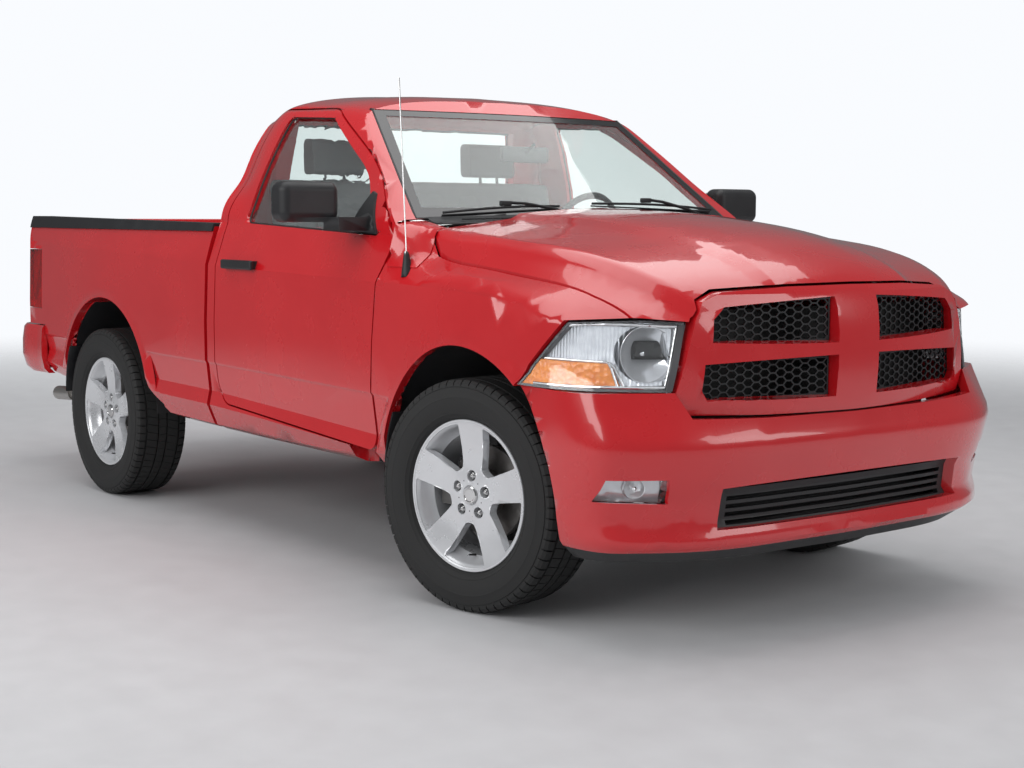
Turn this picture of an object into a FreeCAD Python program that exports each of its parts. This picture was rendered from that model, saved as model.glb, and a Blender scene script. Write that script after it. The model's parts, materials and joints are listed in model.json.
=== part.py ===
"""A full-size pickup truck with a two-door cab and a short load bed, as a parametric document.

Millimetres, +X forward, +Y to the vehicle's left, +Z up. The origin is on the ground at the
middle of the vehicle's overall length. Every driving size is a cell of the sheet called sizes.
"""

import FreeCAD, Part
import math
import os
import Sketcher
from FreeCAD import Placement, Rotation, Vector

SIZES = [
    # Overall sizes and the two axles
    ("overall_length", 5309),
    ("overall_width", 2017),
    ("front_overhang", 1010),
    ("wheelbase", 3061),
    ("track_front", 1730),
    ("track_rear", 1714),
    # Tyres and wheels
    ("tyre_diameter", 832),
    ("tyre_width", 275),
    ("tread_width", 228),
    ("groove_width", 12),
    ("groove_depth", 9),
    ("rim_diameter", 508),
    ("rim_width", 222),
    ("rim_lip", 18),
    ("wheel_face", 92),
    ("spoke_width", 86),
    ("hub_radius", 84),
    ("hub_bore", 71),
    ("bolt_circle", 139.7),
    ("bolt_hole", 15),
    ("disc_diameter", 336),
    ("disc_thickness", 28),
    ("stub_radius", 11.7),
    # Steering as it stands, and full lock each way
    ("steer_angle", 10.5),
    ("steer_lock", 34),
    ("kingpin_inset", 112),
    # Height lines of the sides at the cab
    ("sill_height", 447),
    ("crease_height", 540),
    ("seam_height", 745),
    ("widest_height", 935),
    ("shoulder_height", 1165),
    ("belt_height", 1345),
    ("roof_height", 1930),
    ("rail_height", 1362),
    # Half widths of the sides at those lines
    ("sill_half", 900),
    ("crease_half", 986),
    ("side_half", 993),
    ("shoulder_half", 984),
    ("belt_half", 925),
    ("roof_half", 735),
    ("floor_height", 655),
    # Where the panels meet, back from the front axle
    ("door_front", 545),
    ("door_length", 1272),
    ("pillar_width", 68),
    ("bed_gap", 28),
    ("bumper_reach", 259),
    ("panel_gap", 7),
    # Shells
    ("door_thickness", 122),
    ("frame_thickness", 42),
    ("roof_thickness", 34),
    ("cab_back_thickness", 62),
    ("cab_lean", 92),
    ("cab_corner_radius", 60),
    ("skin_thickness", 22),
    ("glass_thickness", 6),
    ("glass_clearance", 3),
    # Door hinges
    ("hinge_setback", 80),
    ("hinge_half", 946),
    ("hinge_pin", 16),
    ("hinge_clearance", 5),
    ("door_open", 62),
    # Hood
    ("hood_half", 862),
    ("hood_thickness", 30),
    ("hood_open", 45),
    # Wheel arches
    ("arch_front_reach", 545),
    ("arch_rear_reach", 475),
    ("arch_rise", 520),
    ("arch_centre_height", 430),
    ("arch_centre_ahead", 20),
    ("rear_arch_ahead", 60),
    ("rear_arch_height", 480),
    ("rear_arch_radius", 513),
    ("flare_width", 62),
    # Load bed and tailgate
    ("bed_inner_width", 1687),
    ("wheelhouse_gap", 1295),
    ("bed_depth", 511),
    ("bed_rail_half", 938),
    ("bed_wall", 5),
    ("tailgate_width", 1534),
    ("tailgate_thickness", 62),
    ("hitch_bore", 28),
    ("liner_clip_reach", 20.7),
    ("cowl_half", 785),
    ("mesh_pitch", 66),
    ("mesh_rise", 28),
    ("mesh_bar", 5),
    # Frame
    ("rail_half_spacing", 418),
    ("rail_section_width", 80),
    ("rail_section_height", 150),
    ("floor_sheet", 16),
    ("seat_gap", 0.3),
]

doc = FreeCAD.newDocument("pickup_truck")
sheet = doc.addObject("Spreadsheet::Sheet", "sizes")
for row, (alias, value) in enumerate(SIZES, 1):
    sheet.set("A%d" % row, alias)
    sheet.set("B%d" % row, str(value))
    sheet.setAlias("B%d" % row, alias)
doc.recompute()

subparts = []


class Length:
    """A size with the text of the formula that gives it, so that a sketch can be bound to it."""

    def __init__(self, value, text):
        self.value = value
        self.text = text

    def join(self, other, sign, value):
        return Length(value, "(%s %s %s)" % (self.text, sign, other.text))

    def __add__(self, other):
        other = exact(other)
        return self.join(other, "+", self.value + other.value)

    def __sub__(self, other):
        other = exact(other)
        return self.join(other, "-", self.value - other.value)

    def __mul__(self, other):
        other = exact(other)
        return self.join(other, "*", self.value * other.value)

    def __truediv__(self, other):
        other = exact(other)
        return self.join(other, "/", self.value / other.value)

    def __neg__(self):
        return exact(0) - self

    def __float__(self):
        return float(self.value)


def exact(number):
    """A plain number as a length, or a length unchanged."""
    return number if isinstance(number, Length) else Length(number, "%g" % number)


def size(alias):
    """A driving dimension from the sheet, with its own formula."""
    return Length(float(sheet.get(alias)), "sizes." + alias)


def mm(alias):
    """A driving dimension from the sheet as a number."""
    return float(sheet.get(alias))


# Lengthwise places, from the middle of the vehicle
HALF_LENGTH = mm("overall_length") / 2
FRONT_AXLE = size("overall_length") / 2 - size("front_overhang")
REAR_AXLE = FRONT_AXLE - size("wheelbase")
front_x = float(FRONT_AXLE)
rear_x = float(REAR_AXLE)
door_front_x = front_x - mm("door_front")
door_rear_x = door_front_x - mm("door_length")
cab_rear_x = door_rear_x - mm("pillar_width")
bed_front_x = cab_rear_x - mm("bed_gap")
bed_rear_x = -HALF_LENGTH + mm("bumper_reach")
axle_height = mm("tyre_diameter") / 2
AXLE_HEIGHT = size("tyre_diameter") / 2
RAIL_TOP = size("floor_height") - size("floor_sheet") - size("seat_gap")
BED_UNDERSIDE = size("rail_height") - size("bed_depth") - exact(56)
rail_top = float(RAIL_TOP)
bed_underside = float(BED_UNDERSIDE)


def ahead(distance):
    """The lengthwise place a distance ahead of the front axle."""
    return front_x + distance


def add_feature(label, shape):
    """Keep a shape as a sub-part of its own."""
    piece = doc.addObject("Part::Feature", label)
    piece.Label = label
    piece.Shape = shape
    piece.Placement = Placement()
    subparts.append(piece)
    return piece


def add_body(label):
    """Start a sub-part that is built from sketches."""
    body = doc.addObject("PartDesign::Body", label)
    body.Label = label
    subparts.append(body)
    return body


def place_body(body, x=None, y=None, z=None, turn=None):
    """Put a body at formulas along the axes, turned about an axis where given."""
    if turn is not None:
        body.Placement = Placement(Vector(), turn)
    for axis, place in (("x", x), ("y", y), ("z", z)):
        if place is not None:
            body.setExpression("Placement.Base." + axis, exact(place).text)
    return body


def plane_sketch(body, role, name, offset=None):
    """A sketch on one of the body's own planes, raised off it by a formula."""
    sketch = body.newObject("Sketcher::SketchObject", name)
    plane = [feature for feature in body.Origin.OriginFeatures if feature.Role == role][0]
    sketch.AttachmentSupport = (plane, "")
    sketch.MapMode = "FlatFace"
    if offset is not None:
        sketch.setExpression("AttachmentOffset.Base.z", exact(offset).text)
    return sketch


def hold_point(sketch, edge, end, x, y):
    """Bind one end of a sketch line, or a circle's centre, to two formulas."""
    for kind, other_axis, place in (("DistanceX", -2, x), ("DistanceY", -1, y)):
        place = exact(place)
        if abs(place.value) < 1e-9:
            sketch.addConstraint(Sketcher.Constraint("PointOnObject", edge, end, other_axis))
        elif place.value > 0:
            index = sketch.addConstraint(Sketcher.Constraint(kind, -1, 1, edge, end, place.value))
            sketch.setExpression("Constraints[%d]" % index, place.text)
        else:
            index = sketch.addConstraint(Sketcher.Constraint(kind, edge, end, -1, 1, -place.value))
            sketch.setExpression("Constraints[%d]" % index, "-" + place.text)


def draw_outline(sketch, corners):
    """Close a polygon through corners whose coordinates are formulas."""
    places = [Vector(float(exact(x)), float(exact(y)), 0) for x, y in corners]
    count = len(places)
    first = sketch.GeometryCount
    for i in range(count):
        sketch.addGeometry(Part.LineSegment(places[i], places[(i + 1) % count]))
    for i in range(count):
        following = first + (i + 1) % count
        sketch.addConstraint(Sketcher.Constraint("Coincident", first + i, 2, following, 1))
    for i, (x, y) in enumerate(corners):
        hold_point(sketch, first + i, 1, x, y)


def draw_circle(sketch, x, y, radius):
    """A circle whose centre and radius are formulas."""
    radius = exact(radius)
    centre = Vector(float(exact(x)), float(exact(y)), 0)
    edge = sketch.addGeometry(Part.Circle(centre, Vector(0, 0, 1), radius.value))
    index = sketch.addConstraint(Sketcher.Constraint("Radius", edge, radius.value))
    sketch.setExpression("Constraints[%d]" % index, radius.text)
    hold_point(sketch, edge, 3, x, y)


def add_pad(body, sketch, length, midplane=True, name="pad"):
    """Extrude a sketch by a formula, to both sides unless told otherwise."""
    pad = body.newObject("PartDesign::Pad", name)
    pad.Profile = sketch
    pad.setExpression("Length", exact(length).text)
    pad.Midplane = midplane
    return pad


def add_pocket(body, sketch, name="pocket"):
    """Cut a sketch through the whole body."""
    pocket = body.newObject("PartDesign::Pocket", name)
    pocket.Profile = sketch
    pocket.Type = "ThroughAll"
    pocket.Midplane = True
    return pocket


def add_revolution(body, sketch, name="revolution", axis="H_Axis"):
    """Turn a sketch right round one of its own axes."""
    turned = body.newObject("PartDesign::Revolution", name)
    turned.Profile = sketch
    turned.ReferenceAxis = (sketch, [axis])
    turned.Angle = 360
    return turned


def polygon_face(points):
    """A flat face inside a closed polygon of points."""
    return Part.Face(Part.makePolygon(list(points) + [points[0]]))


def side_prism(outline, near=-1200, far=1200):
    """A solid with an outline of (x, z) corners, between two places along Y."""
    face = polygon_face([Vector(x, near, z) for x, z in outline])
    return face.extrude(Vector(0, far - near, 0))


def front_prism(outline, near, far):
    """A solid with an outline of (y, z) corners, between two places along X."""
    face = polygon_face([Vector(near, y, z) for y, z in outline])
    return face.extrude(Vector(far - near, 0, 0))


def plan_prism(outline, low, high):
    """A solid with an outline of (x, y) corners, between two heights."""
    face = polygon_face([Vector(x, y, low) for x, y in outline])
    return face.extrude(Vector(0, 0, high - low))


def block(x, y, z):
    """A box from three pairs of limits."""
    corner = Vector(min(x), min(y), min(z))
    return Part.makeBox(abs(x[1] - x[0]), abs(y[1] - y[0]), abs(z[1] - z[0]), corner)


def mirrored(shape):
    """The same shape on the other side of the vehicle."""
    return shape.mirror(Vector(0, 0, 0), Vector(0, 1, 0))


def both_sides(shape):
    """A shape with its mirror image, as separate solids."""
    return Part.makeCompound([shape, mirrored(shape)])


def solid_of(shape):
    """The solids of a boolean's result, as one solid or a compound of several."""
    shape = shape.removeSplitter()
    if len(shape.Solids) == 1:
        return shape.Solids[0]
    return Part.makeCompound(shape.Solids)


def largest(shape):
    """The largest solid of a boolean's result."""
    return max(shape.Solids, key=lambda solid: solid.Volume)


def grow_outline(outline, distance):
    """Move each side of a closed counter-clockwise or clockwise outline outwards by a distance."""
    area = sum(a[0] * b[1] - b[0] * a[1] for a, b in zip(outline, outline[1:] + outline[:1]))
    sign = 1 if area > 0 else -1
    grown = []
    count = len(outline)
    for i in range(count):
        before = outline[i - 1]
        here = outline[i]
        after = outline[(i + 1) % count]
        normals = []
        for start, end in ((before, here), (here, after)):
            run = math.hypot(end[0] - start[0], end[1] - start[1])
            normals.append(((end[1] - start[1]) / run * sign, (start[0] - end[0]) / run * sign))
        (ax, ay), (bx, by) = normals
        spread = 1 + ax * bx + ay * by
        grown.append((here[0] + (ax + bx) / spread * distance, here[1] + (ay + by) / spread * distance))
    return grown


def rounded_wire(corners, radius):
    """A closed wire through corners of (point, radius or None), each corner an arc of its radius."""
    count = len(corners)
    starts = []
    ends = []
    middles = []
    for i, entry in enumerate(corners):
        here, own = entry
        own = radius if own is None else own
        before = corners[i - 1][0]
        after = corners[(i + 1) % count][0]
        back = (before - here)
        onward = (after - here)
        half = back.getAngle(onward) / 2
        reach = own / math.tan(half) if own > 0 else 0
        back.normalize()
        onward.normalize()
        starts.append(here + back * reach)
        ends.append(here + onward * reach)
        if own > 0:
            bisector = back + onward
            bisector.normalize()
            middles.append(here + bisector * (own / math.sin(half) - own))
        else:
            middles.append(None)
    edges = []
    for i in range(count):
        if middles[i] is not None:
            edges.append(Part.Arc(starts[i], middles[i], ends[i]).toShape())
        edges.append(Part.LineSegment(ends[i], starts[(i + 1) % count]).toShape())
    return Part.Wire(edges)


def rounded_side_prism(outline, radius, near=-1200, far=1200):
    """Like side_prism, with every corner rounded to one radius or to its own third value."""
    corners = [(Vector(c[0], near, c[1]), c[2] if len(c) > 2 else None) for c in outline]
    return Part.Face(rounded_wire(corners, radius)).extrude(Vector(0, far - near, 0))


def smooth_value(knots, place):
    """A smooth curve through knots of (place, value), evaluated at a place, flat past its ends."""
    knots = sorted(knots)
    if place <= knots[0][0]:
        return knots[0][1]
    if place >= knots[-1][0]:
        return knots[-1][1]
    slopes = []
    for i, (x, y) in enumerate(knots):
        low = knots[max(i - 1, 0)]
        high = knots[min(i + 1, len(knots) - 1)]
        slopes.append((high[1] - low[1]) / (high[0] - low[0]))
    for i in range(len(knots) - 1):
        x0, y0 = knots[i]
        x1, y1 = knots[i + 1]
        if place <= x1:
            run = x1 - x0
            t = (place - x0) / run
            a = 2 * t ** 3 - 3 * t ** 2 + 1
            b = t ** 3 - 2 * t ** 2 + t
            c = 3 * t ** 2 - 2 * t ** 3
            d = t ** 3 - t ** 2
            return a * y0 + b * run * slopes[i] + c * y1 + d * run * slopes[i + 1]


def loft_sections(sections, ruled=False):
    """A solid through a list of closed wires."""
    solid = Part.makeLoft(sections, True, ruled, False)
    if solid.Volume < 0:
        solid.reverse()
    return solid


# Stations along the side that the flowing lines are given at
NOSE = ahead(575)
TIP = ahead(900)
ARCH = ahead(mm("arch_centre_ahead"))
BED_MIDDLE = (bed_front_x + bed_rear_x) / 2


def side_line(half, height, widths, heights, x):
    """A line along the side at one station, from its main size and how that changes on the way."""
    return half + smooth_value(widths, x), height + smooth_value(heights, x)


def lower_side(x):
    """The lines of the side from the sill's foot up to the shoulder crease, as (half width, height)."""
    narrowing = [(TIP, -150), (NOSE, -16), (ARCH, 6), (door_front_x, 0), (BED_MIDDLE, 4), (bed_rear_x, -20)]
    sill_rise = [(door_front_x, -6), (bed_front_x, 2), (rear_x, 30), (bed_rear_x, 110)]
    sill = side_line(mm("sill_half"), mm("sill_height"), narrowing, sill_rise, x)
    turn = (sill[0] + 48, sill[1] + 22)
    crease_rise = [(door_front_x, -32), (door_rear_x, 20), (rear_x, 40), (bed_rear_x, 90)]
    crease = side_line(mm("crease_half"), mm("crease_height"), narrowing, crease_rise, x)
    valley = (crease[0] - 13, crease[1] + 62)
    seam_rise = [(NOSE, -30), (door_front_x, -12), (cab_rear_x, 12), (bed_rear_x, 20)]
    seam = side_line(mm("side_half"), mm("seam_height"), narrowing, seam_rise, x)
    ledge = (seam[0] - 8, seam[1] - 12)
    widest = side_line(mm("side_half") + 1, mm("widest_height"), narrowing, [(NOSE, -25), (ARCH, 0)], x)
    shoulder_rise = [
        (TIP, -160), (NOSE, -99), (ahead(300), -50), (ahead(0), -27), (door_front_x, -12),
        (door_rear_x, 15), (BED_MIDDLE, 50), (bed_rear_x, 76),
    ]
    shoulder = side_line(mm("shoulder_half"), mm("shoulder_height"), narrowing, shoulder_rise, x)
    return [sill, turn, crease, valley, ledge, seam, widest, shoulder]


def belt_line(x):
    """The line under the side windows, which rises towards the rear."""
    rise = [(door_front_x, -18), (door_rear_x, 24)]
    return side_line(mm("belt_half"), mm("belt_height"), [(door_front_x, 0), (door_rear_x, 0)], rise, x)


def grouped_wire(x, groups):
    """A closed cross-section from runs of (y, z) points: two points make a line, more make a curve."""
    edges = []
    for group in groups:
        points = [Vector(x, y, z) for y, z in group]
        if len(points) == 2:
            edges.append(Part.LineSegment(points[0], points[1]).toShape())
        else:
            curve = Part.BSplineCurve()
            curve.interpolate(points)
            edges.append(curve.toShape())
    return Part.Wire(edges)


# How far the roof has come down from its highest point, along the cab
ROOF_DROP = [
    (ahead(-900), 66), (ahead(-1100), 32), (ahead(-1300), 9), (ahead(-1500), 0),
    (ahead(-1700), 8), (cab_rear_x, 34),
]


def roof_lines(x, inset=0.0, sunk=0.0):
    """The cab's upper half section, from the belt over the side windows to the roof's middle."""
    belt = belt_line(x)
    pinch = smooth_value([(ahead(-500), -18), (ahead(-1000), -8), (ahead(-1500), 0), (cab_rear_x, -4)], x)
    drop = smooth_value(ROOF_DROP, x)
    rail = mm("roof_half") + pinch
    top = mm("roof_height") - drop
    return [
        (belt[0] - inset, belt[1]),
        (belt[0] - 33 + pinch * 0.4 - inset, belt[1] + 112),
        (rail + 115 - inset, top - 340),
        (rail + 62 - inset, top - 215),
        (rail + 8 - inset, top - 118),
        (rail - 28 - inset * 0.8, top - 76 - sunk * 0.6),
        (rail - 90 - inset * 0.5, top - 50 - sunk * 0.9),
        (rail - 200 - inset * 0.2, top - 28 - sunk),
        (300, top - 7 - sunk),
        (0, top - sunk),
    ]


def cab_section(x):
    """The outside of the cab at one station, as a closed half section."""
    lower = lower_side(x)
    upper = roof_lines(x)
    foot = lower[0][1]
    groups = [[a, b] for a, b in zip(lower, lower[1:] + upper[:1])]
    groups += [upper, [upper[-1], (0, foot)], [(0, foot), lower[0]]]
    return grouped_wire(x, groups)


def cabin_section(x):
    """The inside of the cab at one station: door walls below the belt, thin frames above it."""
    wall = mm("door_thickness")
    lower = lower_side(x)
    floor = mm("floor_height")
    upper = roof_lines(x, mm("frame_thickness"), mm("roof_thickness"))
    inner = [(half - wall, height) for half, height in lower[4:]]
    shelf = (belt_line(x)[0] - wall, upper[0][1])
    path = [(lower[4][0] - wall, floor)] + inner + [shelf, upper[0]]
    groups = [[a, b] for a, b in zip(path, path[1:])]
    groups += [upper, [upper[-1], (0, floor)], [(0, floor), path[0]]]
    return grouped_wire(x, groups)

CAB_STATIONS = [ahead(d) for d in (-330, -450, -600, -760, -900, -1100, -1300, -1500, -1700)] + [
    cab_rear_x - 10]


def whole(half_shape):
    """A half body joined with its mirror image across the middle."""
    return half_shape.fuse(mirrored(half_shape)).removeSplitter()


def windshield_cutter(offset):
    """All that lies ahead of the windshield's outer face, or of a face that far inside it."""
    wires = []
    for height in (1250, 2050):
        rise = height - 1405
        middle = ahead(-435 - rise * 1.256 - offset / 0.627)
        radius = 4486 - rise * 2.8
        reach = 1150
        sweep = radius - math.sqrt(radius ** 2 - reach ** 2)
        left = Vector(middle - sweep, reach, height)
        right = Vector(middle - sweep, -reach, height)
        front_left = Vector(ahead(400), reach, height)
        front_right = Vector(ahead(400), -reach, height)
        arc = Part.Arc(right, Vector(middle, 0, height), left).toShape()
        edges = [
            arc,
            Part.LineSegment(left, front_left).toShape(),
            Part.LineSegment(front_left, front_right).toShape(),
            Part.LineSegment(front_right, right).toShape(),
        ]
        wires.append(Part.Wire(edges))
    return loft_sections(wires, True)


def cab_outline(inset):
    """The cab's side view, rounded at the roof's rear edge, with every edge moved in by an inset."""
    rear = cab_rear_x + inset
    lean = mm("cab_lean")
    floor = mm("floor_height") if inset else mm("sill_height") - 40
    return [
        (ahead(-330), floor, 1),
        (rear, floor, 1),
        (rear, mm("belt_height"), 260),
        (rear + lean, mm("roof_height") + 12 - inset, 70),
        (ahead(-330), mm("roof_height") + 12 - inset, 1),
    ]


def cab_volume():
    """The solid outside form of the cab."""
    body = whole(loft_sections([cab_section(x) for x in CAB_STATIONS]))
    body = body.common(rounded_side_prism(cab_outline(0), 1))
    return body.cut(windshield_cutter(0))


def cabin_volume():
    """The hollow inside the cab."""
    body = whole(loft_sections([cabin_section(x) for x in CAB_STATIONS]))
    body = body.common(rounded_side_prism(cab_outline(mm("cab_back_thickness")), 1))
    body = body.cut(windshield_cutter(mm("frame_thickness")))
    return body.common(block((-HALF_LENGTH, ahead(-490)), (-1200, 1200), (0, 2200)))



def door_outline():
    """The door's edge in side view, on the middle of the gap round it, as (x, z, corner radius)."""
    front = door_front_x
    rear = door_rear_x
    shoulder = mm("shoulder_height")
    belt = mm("belt_height")
    top = mm("roof_height") - 74
    return [
        (front + 14, mm("crease_height") - 34, 40),
        (rear, mm("crease_height") + 43, 120),
        (rear, belt + 30, 700),
        (rear + 112, top + 4, 60),
        (ahead(-1235), top - 12, 150),
        (ahead(-790), belt + 264, 900),
        (ahead(-566), belt + 62, 250),
        (ahead(-476), belt - 48, 50),
        (front + 18, shoulder - 20, 120),
        (front - 6, mm("seam_height") - 10, 600),
    ]


def grow_rounded(outline, distance):
    """Move a rounded outline's sides outwards, keeping its arcs concentric."""
    grown = grow_outline([(c[0], c[1]) for c in outline], distance)
    return [(g[0], g[1], max(c[2] + distance, 1)) for g, c in zip(grown, outline)]


def window_outline():
    """The side window's opening in side view, as (x, z, corner radius)."""
    belt = mm("belt_height")
    top = mm("roof_height") - 112
    rear = door_rear_x
    return [
        (ahead(-585), belt - 22, 12),
        (rear + 162, belt + 22, 24),
        (rear + 246, top + 4, 36),
        (ahead(-1222), top - 14, 90),
        (ahead(-850), belt + 236, 500),
    ]


hinge_x = door_front_x - mm("hinge_setback")
HINGE_HEIGHTS = (mm("seam_height") + 55, mm("shoulder_height") - 85)


def rotor_profile(extra):
    """The reach of the door's leading edge about its hinge line at each height, as (radius, z)."""
    shoulder = mm("shoulder_height")
    belt = mm("belt_height")
    back = mm("hinge_setback")
    side = mm("side_half") - mm("hinge_half")
    points = [
        (math.hypot(back + 15, side - 18), mm("sill_height") - 30),
        (math.hypot(back + 4, side), mm("seam_height") - 140),
        (math.hypot(back - 6, side), mm("seam_height") - 10),
        (math.hypot(back + 15, side - 8), shoulder - 20),
        (back + 62, belt - 60),
        (back + 62, belt - 38),
        (back + 40, belt),
        (back - 4, belt + 66),
        (back - 62, belt + 134),
    ]
    return [(radius + extra, height) for radius, height in points]


def rotor(extra):
    """The round form about the left hinge line that the door's leading edge keeps inside."""
    profile = rotor_profile(extra)
    path = [(0, profile[0][1])] + profile + [(0, profile[-1][1])]
    face = polygon_face([Vector(radius, 0, height) for radius, height in path])
    solid = face.revolve(Vector(0, 0, 0), Vector(0, 0, 1), 360)
    solid.translate(Vector(hinge_x, mm("hinge_half"), 0))
    return solid


def windshield_outline(shrink):
    """The windshield's opening seen from the front, as (y, z) corners."""
    belt = mm("belt_height")
    top = mm("roof_height") - 96
    outline = [
        (-818, belt + 44), (818, belt + 44), (812, belt + 66), (662, top), (-662, top), (-812, belt + 66),
    ]
    return grow_outline(outline, -shrink)


def door_depth_prism():
    """The depth that the side wall and the window frame take up, seen from the front."""
    belt = mm("belt_height")
    inner = mm("side_half") - mm("door_thickness") - 60
    return front_prism([
        (1200, 300), (inner, 300), (inner, belt + 6), (mm("belt_half") - 75, belt + 6),
        (mm("roof_half") - 75, mm("roof_height") - 70), (mm("roof_half") - 75, 2200), (1200, 2200),
    ], -HALF_LENGTH, HALF_LENGTH)


def make_cab(shell):
    """Split the cab's shell into its fixed panels and its doors."""
    gap = mm("panel_gap")
    belt = mm("belt_height")
    roof = mm("roof_height")
    floor = mm("floor_height")
    near = mm("roof_half") - 160
    cowl_half = mm("cowl_half")
    depth = door_depth_prism()
    opening = rounded_side_prism(grow_rounded(door_outline(), gap / 2), 1, near, 1200).common(depth)
    door_space = rounded_side_prism(grow_rounded(door_outline(), -gap / 2), 1, near, 1200).common(depth)

    door = largest(shell.common(door_space))
    behind = block((hinge_x - 2000, hinge_x), (near, 1200), (0, 2200))
    above = block((hinge_x, hinge_x + 400), (near, 1200), (belt + 120, 2200))
    door = largest(door.common(Part.makeCompound([behind, above]).fuse(rotor(0))))
    door = largest(door.cut(rounded_side_prism(window_outline(), 1, near, 1200)))
    sill_relief = block((hinge_x - 30, hinge_x + 30), (near, mm("side_half") - 150), (0, mm("crease_height") - 22))
    door = largest(door.cut(hinge_pockets()).cut(sill_relief))
    door = solid_of(door.fuse(hinge_pins()))

    wall = mm("side_half") - mm("door_thickness") - 6
    rear_top = roof - 130
    rear_low = belt + 112
    holes = [
        front_prism(windshield_outline(0), ahead(-1150), ahead(-200)),
        front_prism([(-640, rear_low), (640, rear_low), (600, rear_top), (-600, rear_top)],
                    cab_rear_x - 50, cab_rear_x + 300),
        opening, mirrored(opening),
        both_sides(rotor(mm("hinge_clearance"))),
        block((-HALF_LENGTH, ahead(0)), (-780, 780), (0, floor - mm("floor_sheet"))),
        block((ahead(-462), ahead(0)), (-1200, 1200), (0, belt - 60)),
        block((ahead(-500), ahead(0)), (-wall, wall), (0, floor - mm("floor_sheet"))),
        both_sides(block((ahead(-440), ahead(-200)), (704, 750), (belt - 90, belt + 90))),
    ]
    fixed = shell
    for hole in holes:
        fixed = fixed.cut(hole)
    split = 700
    roof_box = block((-HALF_LENGTH, ahead(0)), (-split, split), (roof - 115, roof + 100))
    floor_box = block((-HALF_LENGTH, ahead(-500)), (-wall, wall), (0, floor))
    front_box = block((ahead(-500), ahead(0)), (-wall, wall), (0, belt - 40)).fuse(
        block((ahead(-500), ahead(0)), (-cowl_half, cowl_half), (belt - 41, belt + 60)))
    back_box = block((-HALF_LENGTH, ahead(-1600)), (-split, split), (floor, roof - 115))
    add_feature("roof", largest(fixed.common(roof_box)))
    add_feature("cab_floor", largest(fixed.common(floor_box)))
    cowl = largest(fixed.common(front_box))
    add_feature("firewall", cowl)
    add_feature("cab_back", largest(fixed.common(back_box)))
    sides = fixed
    for taken in (roof_box, floor_box, front_box, back_box):
        sides = sides.cut(taken)
    side = largest(sides.common(block((-HALF_LENGTH, HALF_LENGTH), (0, 1200), (0, 2200))))
    add_feature("body_sides", both_sides(side))
    add_feature("door_left", door)
    add_feature("door_right", mirrored(door))
    return door, cowl


def hinge_pockets():
    """The recesses in the left door's leading edge that the hinge arms turn in."""
    recesses = []
    half = mm("hinge_half")
    inner = min(mm("side_half") - mm("door_thickness") - 20, half - 102)
    for height in HINGE_HEIGHTS:
        recesses.append(block((hinge_x - 24, hinge_x + 140), (inner, half + 26), (height - 36, height + 36)))
    return Part.makeCompound(recesses)


def hinge_pins():
    """The two pins that the left door turns on, held in the walls of its recesses."""
    pins = []
    for height in HINGE_HEIGHTS:
        base = Vector(hinge_x, mm("hinge_half"), height - 37)
        pins.append(Part.makeCylinder(mm("hinge_pin") / 2, 74, base))
    return Part.makeCompound(pins)


def door_hinge_arms():
    """Arms from the front posts to the doors' hinge pins, two a side."""
    arms = []
    half = mm("hinge_half")
    post = ahead(-500) - 34
    for height in HINGE_HEIGHTS:
        low = height - 22
        eye = Part.makeCylinder(mm("hinge_pin") / 2 + 7, 44, Vector(hinge_x, half, low))
        arm = plan_prism([
            (hinge_x - 2, half - 12), (hinge_x + 9, half - 6), (hinge_x + 58, half - 82),
            (post, half - 82), (post, half - 94), (hinge_x + 50, half - 94),
        ], low, low + 44)
        bore = Part.makeCylinder(mm("hinge_pin") / 2 + 0.3, 60, Vector(hinge_x, half, low - 8))
        arms.append(solid_of(eye.fuse(arm).cut(bore)))
    return arms + [mirrored(arm) for arm in arms]


def window_band(inset, thickness):
    """A curved sheet that follows the left window frame, a given depth inside its outer face."""
    sections = []
    for x in CAB_STATIONS:
        outer = [Vector(x, y, z) for y, z in roof_lines(x, inset)[:6]]
        inner = [Vector(x, y, z) for y, z in roof_lines(x, inset + thickness)[:6]]
        edges = []
        for points in (outer, inner[::-1]):
            curve = Part.BSplineCurve()
            curve.interpolate(points)
            edges.append(curve.toShape())
        edges.insert(1, Part.LineSegment(outer[-1], inner[-1]).toShape())
        edges.append(Part.LineSegment(inner[0], outer[0]).toShape())
        sections.append(Part.Wire(edges))
    return loft_sections(sections)


def rear_window_outline(shrink):
    """The rear window seen from behind, as (y, z) corners."""
    top = mm("roof_height") - 130
    low = mm("belt_height") + 112
    return grow_outline([(-640, low), (640, low), (600, top), (-600, top)], -shrink)


def make_glass():
    """The windshield, the rear window and the two door windows."""
    clearance = mm("glass_clearance")
    thickness = mm("glass_thickness")
    outer_cut = windshield_cutter(clearance)
    inner_cut = windshield_cutter(clearance + thickness)
    opening = front_prism(windshield_outline(0.5), ahead(-1150), ahead(-200))
    windshield = largest(inner_cut.cut(outer_cut).common(opening))

    slope = mm("cab_lean") / (mm("roof_height") + 12 - mm("belt_height"))
    low = mm("belt_height")
    high = mm("roof_height")
    face = cab_rear_x + 16
    pane = side_prism([
        (face, low), (face + thickness, low), (face + thickness + slope * (high - low), high),
        (face + slope * (high - low), high),
    ])
    rear_hole = front_prism(rear_window_outline(0.5), cab_rear_x - 50, cab_rear_x + 300)
    add_feature("cab_glass", Part.makeCompound([windshield, largest(pane.common(rear_hole))]))

    inset = mm("frame_thickness") / 2 - thickness / 2
    outline = rounded_side_prism(grow_rounded(window_outline(), -0.5), 1, 500, 1200)
    glass = largest(window_band(inset, thickness).common(outline))
    add_feature("door_glass_left", glass)
    add_feature("door_glass_right", mirrored(glass))


# Stations along the nose that the hood and fender sections are given at
NOSE_STATIONS = [ahead(d) for d in (-620, -545, -450, -360, -285, -190, 0, 200, 400, 575, 700, 800, 880, 960)]


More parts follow.
